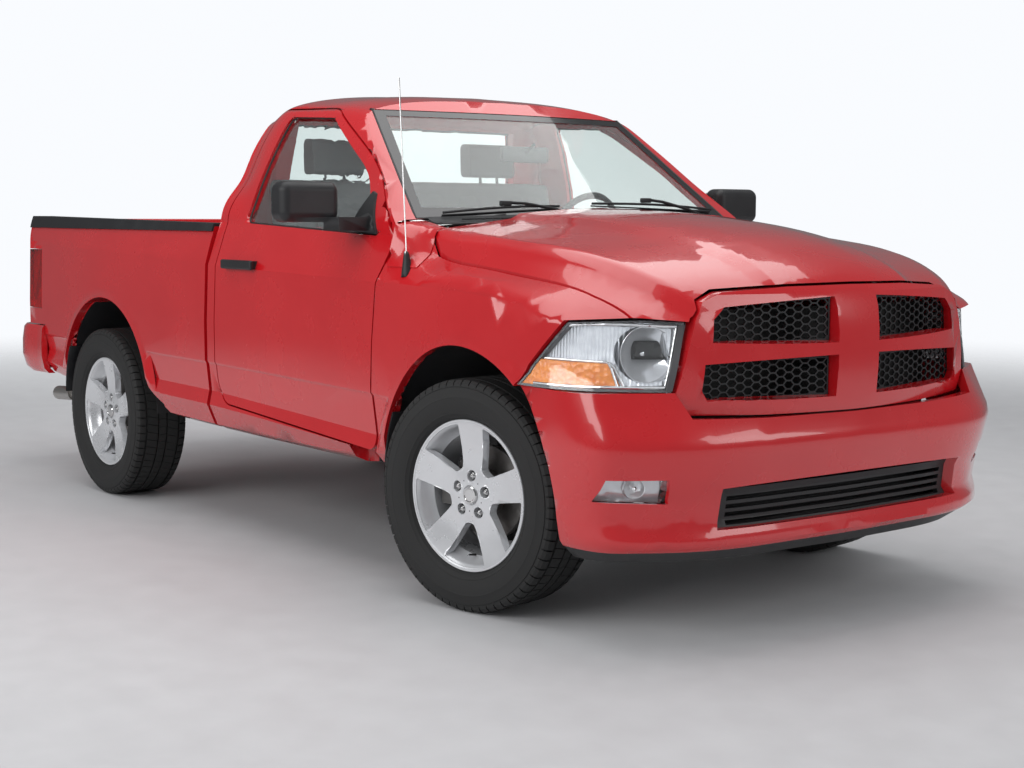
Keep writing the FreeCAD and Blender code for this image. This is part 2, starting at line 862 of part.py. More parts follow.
def nose_section(x, inset=0.0):
    """The outside of the fenders and the hood at one station, or a section that far inside it."""
    lower = [(half - inset, height) for half, height in lower_side(x)]
    crown_half = smooth_value([
        (ahead(-560), 966), (ahead(-400), 950), (ahead(-287), 932), (ahead(0), 930),
        (NOSE, 905), (ahead(780), 850), (TIP, 780)], x)
    crown_top = smooth_value([
        (ahead(-560), 1215), (ahead(-400), 1216), (ahead(-287), 1205), (ahead(0), 1190),
        (ahead(300), 1160), (NOSE, 1118), (ahead(780), 1072), (TIP, 1010)], x)
    gap_half = smooth_value([
        (ahead(-560), 942), (ahead(-430), 912), (ahead(-330), 875), (ahead(-240), 862),
        (NOSE, 862), (ahead(780), 822), (TIP, 740)], x)
    gap_top = smooth_value([
        (ahead(-560), 1290), (ahead(-330), 1262), (ahead(-200), 1236), (ahead(0), 1216),
        (ahead(260), 1188), (ahead(421), 1172), (ahead(557), 1152), (ahead(700), 1118),
        (ahead(800), 1086), (TIP, 1030)], x)
    crest_half = smooth_value([
        (ahead(-560), 918), (ahead(-440), 880), (ahead(-340), 842), (ahead(0), 815),
        (ahead(370), 790), (ahead(600), 760), (ahead(780), 700), (TIP, 640)], x)
    crest_top = smooth_value([
        (ahead(-560), 1372), (ahead(-440), 1362), (ahead(-340), 1345), (ahead(0), 1318),
        (ahead(370), 1284), (ahead(600), 1235), (ahead(780), 1165), (TIP, 1080)], x)
    bulge_half = smooth_value([(ahead(-400), 440), (ahead(0), 405), (ahead(600), 350), (TIP, 330)], x)
    bulge_top = smooth_value([
        (ahead(-560), 1424), (ahead(-400), 1414), (ahead(0), 1392), (ahead(330), 1356),
        (ahead(600), 1305), (ahead(780), 1248), (TIP, 1180), (ahead(960), 1120)], x)
    top = smooth_value([
        (ahead(-560), 1448), (ahead(-400), 1438), (ahead(0), 1420), (ahead(330), 1386),
        (ahead(600), 1336), (ahead(780), 1276), (TIP, 1204), (ahead(960), 1130)], x)
    if inset:
        lower[0] = (lower[0][0], lower[0][1] - 80)
        lower[1] = (lower[1][0] - 4, lower[1][1])
        crown_half -= inset * 0.8
        crown_top -= inset * 0.6
        gap_half -= inset * 0.8
        gap_top -= inset * 0.8
        crest_half -= inset * 0.7
        crest_top -= inset
        bulge_top -= inset
        top -= inset
    foot = lower[0][1]
    shoulder = lower[-1]
    groups = [[a, b] for a, b in zip(lower, lower[1:])]
    groups += [
        [shoulder, (crown_half, crown_top)],
        [(crown_half, crown_top), (gap_half, gap_top)],
        [(gap_half, gap_top), (crest_half + 14, crest_top - 34)],
        [(crest_half + 14, crest_top - 34), (crest_half, crest_top)],
        [(crest_half, crest_top), (crest_half - 40, crest_top + 9)],
        [(crest_half - 40, crest_top + 9), (bulge_half + 45, bulge_top - 20)],
        [(bulge_half + 45, bulge_top - 20), (bulge_half, bulge_top)],
        [(bulge_half, bulge_top), (bulge_half * 0.5, top - 8)],
        [(bulge_half * 0.5, top - 8), (0, top)],
        [(0, top), (0, foot)],
        [(0, foot), lower[0]],
    ]
    return grouped_wire(x, groups)


def nose_volume(inset=0.0):
    """The solid outside form of the fenders and the hood."""
    return whole(loft_sections([nose_section(x, inset) for x in NOSE_STATIONS]))


def hood_plan(clearance):
    """The hood's side and rear edges from above, as (x, y) corners, moved in by a clearance."""
    half = mm("hood_half") - clearance
    rear = ahead(-340) + clearance
    return [
        (rear, half - 14), (rear + 62, half), (ahead(600), half), (ahead(900), half - 20),
        (ahead(1100), half - 20), (ahead(1100), -half + 20), (ahead(900), -half + 20),
        (ahead(600), -half), (rear + 62, -half), (rear, -half + 14), (rear - 30, 0),
    ]


def hood_front_line(drop):
    """The hood's lower edge over the lamps and the grille seen from the front, as (y, z) corners."""
    side = [(1200, 1084), (830, 1079), (690, 1066), (668, 1085), (640, 1135), (560, 1166), (300, 1180), (0, 1183)]
    line = [(y, z - drop) for y, z in side]
    return line + [(-y, z) for y, z in line[-2::-1]]


def above_front_line(drop):
    """All the space behind the nose and over the lamps and the grille."""
    front = front_prism(hood_front_line(drop) + [(-1200, 2200), (1200, 2200)], ahead(600), ahead(1200))
    return front.fuse(block((ahead(-700), ahead(640)), (-1200, 1200), (200, 2200)))


def arch_curve(axle, centre_ahead, centre_height, front_reach, rear_reach, rise, grow):
    """A wheel arch's edge in side view, as (x, z) points from its rear foot to its front foot."""
    points = []
    steps = 12
    for i in range(steps + 1):
        angle = math.pi * (1 - i / steps)
        reach = front_reach if math.cos(angle) > 0 else rear_reach
        points.append((
            axle + centre_ahead + (reach + grow) * math.cos(angle),
            centre_height + (rise + grow) * math.sin(angle),
        ))
    return points


def front_arch(grow=0.0):
    """The front wheel arch's edge, moved outwards by a distance."""
    return arch_curve(
        front_x, mm("arch_centre_ahead"), mm("arch_centre_height"), mm("arch_front_reach"),
        mm("arch_rear_reach"), mm("arch_rise"), grow)


def rear_arch(grow=0.0):
    """The rear wheel arch's edge, moved outwards by a distance."""
    return arch_curve(
        rear_x, mm("rear_arch_ahead"), mm("rear_arch_height"), mm("rear_arch_radius"),
        mm("rear_arch_radius"), mm("rear_arch_radius"), grow)


def arch_wire(points, half, foot):
    """A closed wire at one half width: an arch's curve, closed below by straight lines."""
    curve = Part.BSplineCurve()
    curve.interpolate([Vector(x, half, z) for x, z in points])
    start = Vector(points[0][0], half, points[0][1])
    end = Vector(points[-1][0], half, points[-1][1])
    low_end = Vector(points[-1][0], half, foot)
    low_start = Vector(points[0][0], half, foot)
    return Part.Wire([
        curve.toShape(), Part.LineSegment(end, low_end).toShape(),
        Part.LineSegment(low_end, low_start).toShape(), Part.LineSegment(low_start, start).toShape(),
    ])


def arch_prism(points, near, far, foot=200):
    """The space through a wheel arch between two half widths."""
    return Part.Face(arch_wire(points, near, foot)).extrude(Vector(0, far - near, 0))


def arch_flare(curve, root_half):
    """The raised lip round a wheel arch, widest at its edge, before the arch is cut through it."""
    lip = mm("overall_width") / 2
    return loft_sections([
        arch_wire(curve(mm("flare_width")), root_half, 200), arch_wire(curve(12), lip, 200)], True)


def make_hood_and_fenders(shell):
    """The hood, hung at the cowl, and the two front fenders round the wheel arches."""
    nose = nose_volume()
    gap = mm("panel_gap")
    upper = above_front_line(0)
    hollow = nose_volume(mm("skin_thickness"))
    sunk = nose.copy()
    sunk.translate(Vector(0, 0, -mm("hood_thickness")))
    hood = nose.cut(sunk).common(plan_prism(hood_plan(gap / 2), 900, 2200)).common(upper)
    hood = largest(hood)

    left = block((-HALF_LENGTH, HALF_LENGTH), (0, 1200), (0, 2200))
    skin = nose.cut(hollow).common(left)
    skin = skin.cut(plan_prism(hood_plan(-gap / 2), 1000, 2200))
    seam = mm("belt_height") + 72
    foot = mm("sill_height") - 9
    lamp_seam = [
        (ahead(-523), foot), (ahead(-523), 560), (ahead(-640), 600), (ahead(-640), seam), (ahead(-300), seam),
        (ahead(809), 1130), (ahead(800), 1083), (ahead(770), 1079), (ahead(575), 1066), (ahead(425), 912),
        (ahead(412), 892), (ahead(356), 832), (ahead(356), foot),
    ]
    opening = rounded_side_prism(grow_rounded(door_outline(), gap / 2), 1, 400, 1200)
    body = side_prism(lamp_seam, 0, 1200)
    flare = arch_flare(front_arch, mm("side_half") - 6)
    fender = skin.fuse(flare.cut(hollow)).common(body)
    fender = fender.cut(opening).cut(arch_prism(front_arch(), 0, 1200))
    fender = fender.cut(plan_prism(hood_plan(-gap / 2), 1000, 2200))
    fender = fender.cut(block((ahead(-700), ahead(-300)), (0, mm("cowl_half")), (0, 2200)))
    fender = largest(fender.cut(rotor(mm("hinge_clearance"))))
    upper_edge = mm("belt_height") - 75
    around = nose_volume(-25).common(block((-HALF_LENGTH, HALF_LENGTH), (-1200, 1200), (0, upper_edge)))
    over = nose_volume(-gap).common(block((-HALF_LENGTH, HALF_LENGTH), (-1200, 1200), (upper_edge - 1, 2200)))
    room = around.fuse(over).cut(nose_volume(mm("skin_thickness") + mm("seat_gap"))).common(
        side_prism([(x - 1, z + 1) if x < ahead(-400) else (x, z) for x, z in lamp_seam], -1200, 1200))
    room = room.cut(both_sides(opening))
    for arm in hood_arms():
        hood = hood.fuse(arm)
    add_feature("hood", solid_of(hood))
    add_feature("fenders", both_sides(fender))
    return shell.cut(room), mirrored(fender)


def nose_plan_wire(points, height):
    """A closed wire at one height: a front curve through (ahead, half width) points of the left side,
    its mirror image on the right, and a straight back."""
    left = [Vector(ahead(x), y, height) for x, y in points]
    right = [Vector(ahead(x), -y, height) for x, y in points[-2::-1]]
    curve = Part.BSplineCurve()
    curve.interpolate(left + right)
    start = left[0]
    end = right[-1]
    return Part.Wire([curve.toShape(), Part.LineSegment(end, start).toShape()])


BUMPER_PLAN = [
    (300, 1004), (560, 1006), (700, 1000), (790, 968), (852, 900), (925, 780), (978, 615), (1001, 300),
    (1008, 0),
]


def bumper_wire(height, back, narrow):
    """The front bumper's plan at one height, set back and narrowed from its crease."""
    points = []
    for x, y in BUMPER_PLAN:
        share = min(max((x - 560) / 300, 0), 1)
        points.append((x - back * share, y - narrow) if y > 1 else (x - back, 0))
    return nose_plan_wire(points, height)


BUMPER_LEVELS = [
    (323, 44, 50), (342, 25, 36), (372, 34, 30), (415, 56, 22), (500, 46, 12), (533, 30, 8), (600, 14, 3),
    (640, 5, 0), (667, 0, 0), (700, 10, 0), (743, 36, 2), (790, 64, 5), (838, 90, 10),
]


def bumper_volume(inset=0.0):
    """The front bumper's solid form, or one that far inside it."""
    wires = []
    for height, back, narrow in BUMPER_LEVELS:
        wires.append(bumper_wire(height, back + inset, narrow + inset))
    return loft_sections(wires, True)


def make_front_bumper():
    """The body-colour bumper with its lower intake and fog lamp recesses, and the pieces set in it."""
    outer = bumper_volume()
    skin = outer.cut(bumper_volume(30))
    trim = [
        block((ahead(200), ahead(363)), (-1200, 1200), (0, 1000)),
        arch_prism(front_arch(), -1200, 1200),
    ]
    surround = [
        (-745, 900), (-731, 837), (-706, 757), (-400, 747), (0, 743), (400, 747), (706, 757), (731, 837), (745, 900),
    ]
    trim.append(front_prism(surround + [(745, 1200), (-745, 1200)], ahead(500), ahead(1200)))
    intake = loft_sections([
        Part.makePolygon([Vector(ahead(x), y, z) for y, z in outline + outline[:1]])
        for x, outline in (
            (1010, [(-660, 388), (660, 388), (640, 545), (-640, 545)]),
            (850, [(-560, 392), (560, 392), (545, 500), (-545, 500)]),
        )], True)
    trim.append(intake)
    fog_outline = [(775, 484), (972, 492), (958, 566), (790, 566)]
    fog = front_prism(fog_outline, ahead(600), ahead(1100))
    trim += [fog, mirrored(fog)]
    bumper = skin
    for piece in trim:
        bumper = bumper.cut(piece)
    add_feature("front_bumper", largest(bumper))

    lip = loft_sections([bumper_wire(281, 96, 96), bumper_wire(322.5, 48, 54)], True)
    lip_inner = loft_sections([bumper_wire(270, 128, 128), bumper_wire(330, 80, 86)], True)
    valance = lip.cut(lip_inner)
    for piece in trim[:2]:
        valance = valance.cut(piece)
    add_feature("front_valance", largest(valance))

    bumper_inner = bumper_volume(30 + mm("seat_gap"))
    band = bumper_inner.cut(bumper_volume(48))
    slats = band.common(front_prism([(-640, 380), (640, 380), (620, 520), (-620, 520)], ahead(600), ahead(1100)))
    holes = []
    for row in range(4):
        low = 396 + row * 27
        holes.append(block((ahead(600), ahead(1100)), (-545, 545), (low, low + 15)))
    slats = largest(slats.cut(Part.makeCompound(holes)))

    lens = bumper_volume(8).cut(bumper_volume(30)).common(
        front_prism(grow_outline(fog_outline, -0.4), ahead(600), ahead(1100)))
    return bumper_inner, slats, largest(lens)


GRILLE_RADIUS = 2130


def grille_wire(height, middle):
    """A closed plan wire at one height whose front is an arc, with its foremost place given."""
    reach = 780
    sweep = GRILLE_RADIUS - math.sqrt(GRILLE_RADIUS ** 2 - reach ** 2)
    left = Vector(ahead(middle - sweep), reach, height)
    right = Vector(ahead(middle - sweep), -reach, height)
    arc = Part.Arc(left, Vector(ahead(middle), 0, height), right).toShape()
    back_left = Vector(ahead(600), reach, height)
    back_right = Vector(ahead(600), -reach, height)
    return Part.Wire([
        arc, Part.LineSegment(right, back_right).toShape(),
        Part.LineSegment(back_right, back_left).toShape(), Part.LineSegment(back_left, left).toShape(),
    ])


GRILLE_LEVELS = [
    (735, 962), (760, 968), (800, 976), (900, 984), (1020, 984), (1100, 974), (1150, 956), (1190, 924),
]


def grille_volume(inset):
    """The grille surround's solid form, or one that far behind it."""
    return loft_sections([grille_wire(height, middle - inset) for height, middle in GRILLE_LEVELS], True)


def surround_outline(shrink):
    """The grille surround's outer edge seen from the front, as (y, z) corners."""
    half = [(731, 837), (672, 1063), (664, 1085), (637, 1134), (560, 1163), (300, 1177), (0, 1180)]
    left = [(y - shrink if y else 0, z - shrink if z > 1070 else z) for y, z in half]
    low = [(704 - shrink, 763), (400, 753), (0, 749)]
    points = low[::-1] + left
    return points + [(-y, z) for y, z in points[-2:0:-1]]


WINDOWS = {
    "upper": [(118, 999), (606, 999), (600, 1070), (560, 1108), (118, 1124)],
    "lower": [(118, 815), (620, 812), (640, 840), (632, 925), (118, 925)],
}


def grille_window(name, front_grow, back_grow):
    """The drafted opening of one of the left grille windows."""
    wires = []
    for x, grow in ((1040, front_grow), (880, back_grow)):
        outline = grow_outline(WINDOWS[name], grow)
        wires.append(Part.makePolygon([Vector(ahead(x), y, z) for y, z in outline + outline[:1]]))
    return loft_sections(wires, True)


def mesh_plate(name):
    """A flat honeycomb plate behind one of the left grille windows, turned to follow the surround."""
    outline = grow_outline(WINDOWS[name], 10)
    pitch = mm("mesh_pitch")
    rise = mm("mesh_rise") / 2
    flat = pitch * 0.15
    cell = [
        (-pitch / 2 + flat, 0), (-flat, -rise), (flat, -rise), (pitch / 2 - flat, 0), (flat, rise), (-flat, rise),
    ]
    cell = grow_outline(cell, -mm("mesh_bar") / 2)
    holes = []
    low = min(z for y, z in outline)
    high = max(z for y, z in outline)
    inner = grow_outline(outline, -6)
    edge_shape = polygon_face([Vector(0, y, z) for y, z in inner])
    row = 0
    height = low
    while height < high + rise:
        place = min(y for y, z in outline) + (pitch / 2 if row % 2 else 0)
        while place < 700:
            holes.append(polygon_face([Vector(0, place + y, height + z) for y, z in cell]))
            place += pitch
        height += rise
        row += 1
    cells = Part.makeCompound(holes).common(edge_shape)
    plate = polygon_face([Vector(0, y, z) for y, z in outline])
    wires = [face.OuterWire for face in cells.Faces if face.Area > 60]
    plate = plate.cut(Part.makeCompound([Part.Face(wire) for wire in wires]))
    plate = plate.Faces[0] if len(plate.Faces) == 1 else max(plate.Faces, key=lambda face: face.Area)
    solid = plate.extrude(Vector(7, 0, 0))
    gap = mm("seat_gap")
    recess = polygon_face([Vector(-gap, y, z) for y, z in grow_outline(outline, gap)]).extrude(Vector(7 + 2 * gap, 0, 0))
    middle = 365
    turn = -math.degrees(math.asin(middle / GRILLE_RADIUS))
    front = 984 - (GRILLE_RADIUS - math.sqrt(GRILLE_RADIUS ** 2 - middle ** 2))
    for piece in (solid, recess):
        piece.rotate(Vector(0, middle, 0), Vector(0, 0, 1), -turn)
        piece.translate(Vector(ahead(front - 58), 0, 0))
    return solid, recess


def make_grille(slats):
    """The grille's surround with its cross bars, and the black meshes in it and in the bumper."""
    surround = grille_volume(0).cut(grille_volume(46))
    surround = surround.common(front_prism(surround_outline(5), ahead(700), ahead(1100)))
    for name in WINDOWS:
        window = grille_window(name, 26, 0)
        surround = surround.cut(window).cut(mirrored(window))
    plates = []
    for name in WINDOWS:
        plate, recess = mesh_plate(name)
        surround = surround.cut(recess).cut(mirrored(recess))
        plates += [plate, mirrored(plate)]
    add_feature("grille_surround", largest(surround))
    add_feature("grille_mesh", Part.makeCompound(plates + [slats]))


LAMP_PLANS = [
    (828, [(330, 1002), (480, 998), (620, 968), (740, 880), (846, 745), (878, 640), (890, 0)]),
    (900, [(300, 998), (420, 990), (590, 962), (736, 872), (850, 728), (884, 640), (896, 0)]),
    (1000, [(400, 985), (520, 970), (650, 924), (768, 828), (850, 696), (884, 600), (896, 0)]),
    (1090, [(480, 968), (575, 950), (690, 890), (778, 800), (846, 664), (878, 560), (890, 0)]),
]


def lamp_volume(inset):
    """The form that both headlamp lenses lie on, or one that far inside it."""
    wires = []
    for height, plan in LAMP_PLANS:
        wires.append(nose_plan_wire([(x - inset, y - inset * 0.8 if y else 0) for x, y in plan], height))
    return loft_sections(wires)


def make_lamps(fog_lens):
    """The two headlamps, a housing and a clear lens over it on each side, and the fog lamps."""
    outline = [
        (370, 842), (421, 889), (433, 909), (580, 1059), (772, 1070), (830, 1064), (880, 1058), (960, 1056),
        (960, 840),
    ]
    edge = side_prism([(ahead(x), z) for x, z in outline], 0, 1200)
    inner_edge = front_prism([(752, 800), (676, 1100), (1200, 1100), (1200, 800)], ahead(200), ahead(1200))
    room = edge.common(inner_edge)
    lens = largest(lamp_volume(0).cut(lamp_volume(5)).common(room))
    rim = lamp_volume(5.3).cut(lamp_volume(52)).common(room)
    inner = side_prism(grow_outline([(ahead(x), z) for x, z in outline], -7), 0, 1200).common(
        front_prism([(760, 790), (686, 1110), (1200, 1110), (1200, 790)], ahead(200), ahead(1200)))
    bowl = rim.cut(inner.cut(lamp_volume(40)))
    bowls = both_sides(largest(bowl))
    add_feature("lamp_lenses", Part.makeCompound([lens, mirrored(lens), fog_lens, mirrored(fog_lens)]))
    add_feature("headlamps", bowls)
    return bowls


def bed_side_wire(x, inset, rail_lift=0.0):
    """The bed side's outside at one station, from its foot to the rail, as a closed half section."""
    lower = [(half - inset, height) for half, height in lower_side(x)]
    rail = mm("rail_height") + smooth_value([(bed_front_x, -12), (bed_rear_x, 16)], x) + rail_lift
    shoulder = lower[-1]
    rail_half = mm("bed_rail_half") - inset
    groups = [[a, b] for a, b in zip(lower, lower[1:])]
    groups += [
        [shoulder, (rail_half + 14, rail - 42), (rail_half, rail)],
        [(rail_half, rail), (0, rail)],
        [(0, rail), (0, lower[0][1])],
        [(0, lower[0][1]), lower[0]],
    ]
    return grouped_wire(x, groups)


BED_STATIONS = [bed_front_x + (bed_rear_x - bed_front_x) * i / 5 for i in range(6)]
bed_floor_height = mm("rail_height") - mm("bed_depth") - 10
tail_hinge_x = bed_rear_x + mm("tailgate_thickness") / 2
tail_hinge_height = bed_floor_height + 8


def make_bed():
    """The load bed: its floor, front wall and wheel houses, its two outer sides and its black rails."""
    inner = mm("bed_inner_width") / 2
    wall = mm("bed_wall")
    skin = mm("skin_thickness")
    floor = bed_floor_height
    rim = mm("rail_height")
    outside = loft_sections([bed_side_wire(x, 0) for x in BED_STATIONS])
    post = bed_rear_x + 90
    gate = mm("tailgate_width") / 2
    hollows = [
        block((bed_rear_x - 10, bed_front_x + 10), (-50, gate), (0, 2200)),
        block((post, bed_front_x + 10), (-50, inner), (0, 2200)),
        block((post, bed_front_x + 10), (-50, mm("crease_half") - 70), (0, floor + 120)),
        block((bed_rear_x - 10, post + 10), (-50, mm("side_half") - 23), (0, BED_UNDERSIDE.value)),
        block((bed_rear_x - 50, bed_rear_x + 181), (891.7, 1200), (896, 1216)),
        Part.makeCylinder(10 + mm("seat_gap"), 18, Vector(tail_hinge_x, gate - 1, tail_hinge_height), Vector(0, 1, 0)),
    ]
    below = loft_sections([bed_side_wire(x, skin) for x in BED_STATIONS]).common(
        block((post, bed_front_x + 10), (-50, 1200), (0, floor + 120)))
    front_foot = [
        (rear_arch()[-1][0] - 60, 640), (rear_arch()[-1][0] + 26, 545),
        (rear_arch()[-1][0] + 180, 445), (rear_arch()[-1][0] + 180, 300), (rear_arch()[-1][0] - 200, 300),
    ]
    flare = arch_flare(rear_arch, mm("side_half") - 4)
    lamp = block((bed_rear_x - 50, bed_rear_x + 178), (892, 1200), (899, 1213))
    lamp_solid = largest(outside.common(lamp))
    side = outside
    for hollow in hollows[:4]:
        side = side.cut(hollow)
    side = side.fuse(flare.cut(block((-HALF_LENGTH, 0), (-50, 975), (0, 2000))))
    bumper_room = block((bed_rear_x - 50, bed_rear_x + 222), (880, 1200), (0, 812))
    for hole in (below, arch_prism(rear_arch(), 640, 1200), side_prism(front_foot, 600, 1200), bumper_room,
                 hollows[4], hollows[5]):
        side = side.cut(hole)
    side = largest(side.common(block((bed_rear_x - 5, bed_front_x + 5), (0, 1200), (sill_foot(), 2200))))
    add_feature("bedsides", both_sides(side))
    add_feature("tail_lamps", both_sides(lamp_solid))

    pan = block((post + 0.3, bed_front_x - 0.3), (-inner + 0.3, inner - 0.3), (floor - 46, floor))
    pan = pan.fuse(block((bed_rear_x + 70, post + 10), (-gate + 0.3, gate - 0.3), (floor - 46, floor)))
    ribs = []
    count = 13
    for i in range(count):
        y = (i - (count - 1) / 2) * 94
        ribs.append(block((bed_rear_x + 64, bed_front_x - 40), (y - 18, y + 18), (floor - 6, floor + 10)))
    front = block((bed_front_x - 34, bed_front_x - 0.3), (-inner + 0.3, inner - 0.3), (floor - 46, rim - 20))
    bed = pan.cut(Part.makeCompound([
        block((rib.BoundBox.XMin, rib.BoundBox.XMax), (rib.BoundBox.YMin, rib.BoundBox.YMax), (floor - 9, floor + 1))
        for rib in ribs]))
    bed = bed.fuse(front)
    house_half = mm("wheelhouse_gap") / 2
    house = arch_prism(rear_arch(22), house_half, inner - 0.3, floor - 46)
    house = house.common(block((-HALF_LENGTH, 0), (0, 1000), (floor - 46, floor + 248)))
    space = arch_prism(rear_arch(14), house_half + 8, inner + 10, 200).common(
        block((-HALF_LENGTH, 0), (0, 1000), (0, floor + 240)))
    for left_house, left_space in ((house, space), (mirrored(house), mirrored(space))):
        bed = bed.fuse(left_house).cut(left_space)
    add_feature("bed_box", largest(bed))

    cap_low = 0.3
    cap = loft_sections([bed_side_wire(x, -5, 14) for x in BED_STATIONS])
    under = loft_sections([bed_side_wire(x, -0.3, cap_low) for x in BED_STATIONS])
    strip = cap.cut(under).common(block(
        (bed_rear_x - 1, bed_front_x - 1), (inner - 8, 1200), (rim - 32, rim + 60)))
    strip = strip.cut(block((bed_rear_x - 50, bed_rear_x + 66), (0, gate + 1), (0, 2200)))
    cap_left = largest(strip)
    add_feature("bed_rail_caps", both_sides(cap_left))


def sill_foot():
    """The lowest height of the body's sides."""
    return mm("sill_height") - 9


def make_tailgate():
    """The tailgate, hung along its foot, with its handle recess and a black cap along its top."""
    half = mm("tailgate_width") / 2 - 5
    thick = mm("tailgate_thickness")
    top = mm("rail_height") + 16
    low = tail_hinge_height
    rear = bed_rear_x
    front = rear + thick
    profile = [
        (front, low, 0), (front, top, 6), (rear + 12, top, 14), (rear - 4, top - 60, 40), (rear, low, 0),
    ]
    outline = [(Vector(x, 0, z), r) for x, z, r in profile]
    upper = Part.Face(rounded_wire(outline, 0)).extrude(Vector(0, half, 0))
    foot = Part.makeCylinder(thick / 2, half, Vector(tail_hinge_x, 0, low), Vector(0, 1, 0))
    pin = Part.makeCylinder(10, 16 + 30, Vector(tail_hinge_x, half - 30, low), Vector(0, 1, 0))
    gate = whole(upper.fuse(foot).fuse(pin))
    handle = loft_sections([
        Part.makePolygon([Vector(rear + depth, y, z) for y, z in outline_points + outline_points[:1]])
        for depth, outline_points in (
            (-10, [(-135, top - 190), (135, top - 190), (125, top - 95), (-125, top - 95)]),
            (26, [(-118, top - 178), (118, top - 178), (110, top - 107), (-110, top - 107)]),
        )], True)
    panel = front_prism([(-610, low + 60), (610, low + 60), (610, top - 240), (-610, top - 240)], rear - 10, rear + 3)
    gate = gate.cut(handle).cut(panel)
    add_feature("tailgate", largest(gate))


def make_rear_bumper():
    """The step bumper behind the bed, with a recess for the plate and pads on its top."""
    plan = [(bed_rear_x + 216, 1000), (bed_rear_x + 60, 1003), (bed_rear_x - 60, 996), (bed_rear_x - 150, 950),
            (bed_rear_x - 205, 850), (bed_rear_x - 240, 620), (bed_rear_x - 256, 300), (bed_rear_x - 259, 0)]
    wires = []
    inner = []
    for height, back, narrow in ((548, 60, 40), (575, 22, 14), (640, 0, 0), (720, 4, 0), (790, 20, 6), (806, 34, 16)):
        for inset, group in ((0, wires), (34, inner)):
            points = []
            for x, y in plan:
                share = min(max((bed_rear_x + 60 - x) / 200, 0), 1)
                half = y - (narrow + inset) if y else 0
                points.append((x + (back + inset) * share - front_x, half))
            group.append(nose_plan_wire(points, height))
    outer = loft_sections(wires, True)
    hollow = loft_sections(inner, True).common(block((-HALF_LENGTH, 0), (-1200, 1200), (500, 780)))
    shell = outer.cut(hollow)
    front = block((bed_rear_x - 8, 0), (-892, 892), (500, 900))
    shell = shell.cut(front).common(block((-HALF_LENGTH - 1, bed_rear_x + 216), (-1200, 1200), (500, 900)))
    plate = front_prism([(-170, 640), (170, 640), (170, 770), (-170, 770)], -HALF_LENGTH - 10, -HALF_LENGTH + 26)
    hitch = Part.makeCylinder(mm("hitch_bore") / 2, 60, Vector(-HALF_LENGTH + 110, 0, 770))
    shell = shell.cut(plate).cut(hitch)
    add_feature("rear_bumper", largest(shell))


def ring_body(label, profile, name="ring"):
    """A body turned about the Y axis from corners of (place along Y, radius)."""
    body = add_body(label)
    sketch = plane_sketch(body, "YZ_Plane", name + "_profile")
    draw_outline(sketch, profile)
    add_revolution(body, sketch, name)
    return body


def turned_pocket(body, corners, count, name):
    """Cut an outline of (x, z) corners through a wheel, repeated evenly about its axis."""
    sketch = plane_sketch(body, "XZ_Plane", name + "_outline")
    draw_outline(sketch, corners)
    pocket = add_pocket(body, sketch, name)
    repeat_about_axis(body, sketch, pocket, count, name)


def repeat_about_axis(body, sketch, feature, count, name):
    """Repeat a feature evenly about the body's Y axis."""
    pattern = body.newObject("PartDesign::PolarPattern", name + "_pattern")
    pattern.Originals = [feature]
    pattern.Axis = (sketch, ["N_Axis"])
    pattern.Angle = 360
    pattern.Occurrences = count
    body.Tip = pattern


def tyre_profile():
    """A tyre's section as (place along its axle, radius), from bead to bead."""
    half = size("tyre_width") / 2
    outer = size("tyre_diameter") / 2
    bead = size("rim_diameter") / 2 + exact(1) + size("seat_gap")
    lip = size("rim_diameter") / 2 + size("rim_lip") + exact(1)
    tread = size("tread_width") / 2
    seat = size("rim_width") / 2 - exact(10) - size("seat_gap")
    right = [
        (seat, bead), (seat, lip), (half, outer - exact(86)), (half - exact(6), outer - exact(34)),
        (tread, outer - exact(4)),
    ]
    crown = [(exact(0), outer)]
    left = [(-place, radius) for place, radius in right[::-1]]
    return right + crown + left


def wheel_profile():
    """A wheel's section as (place along its axle, radius): the face and hub, and the barrel round them."""
    half = size("rim_width") / 2
    seat = size("rim_diameter") / 2
    lip = seat + size("rim_lip")
    face = size("wheel_face")
    bore = size("hub_bore") / 2
    hub = size("hub_radius")
    return [
        (face - exact(44), bore - exact(12)), (face - exact(14), bore - exact(12)), (face - exact(12), hub * exact(0.72)),
        (face - exact(8), hub), (face + exact(4), seat - exact(30)), (face + exact(10), seat - exact(8)),
        (half, lip - exact(9)), (half, lip), (half - exact(8), lip), (half - exact(10), seat + exact(1)),
        (half - exact(42), seat - exact(2)), (half - exact(60), seat - exact(24)),
        (exact(40) - half, seat - exact(24)), (exact(22) - half, seat - exact(2)),
        (exact(10) - half, seat + exact(1)), (exact(8) - half, lip), (-half, lip), (-half, lip - exact(9)),
        (exact(5) - half, seat - exact(6)), (exact(30) - half, seat - exact(14)), (exact(44) - half, seat - exact(33)),
        (face - exact(40), seat - exact(33)), (face - exact(36), hub),
    ]


def window_corners():
    """One window between two spokes, below the hub, as (x, z) corners."""
    seat = size("rim_diameter") / 2
    inner = size("hub_radius") + exact(20)
    outer = seat - exact(36)
    narrow = exact(17)
    wide = exact(86)
    return [
        (-narrow, -inner), (narrow, -inner), (wide, -(outer * exact(0.86))), (wide * exact(0.8), -(outer * exact(0.94))),
        (exact(0), -outer), (-(wide * exact(0.8)), -(outer * exact(0.94))), (-wide, -(outer * exact(0.86))),
    ]


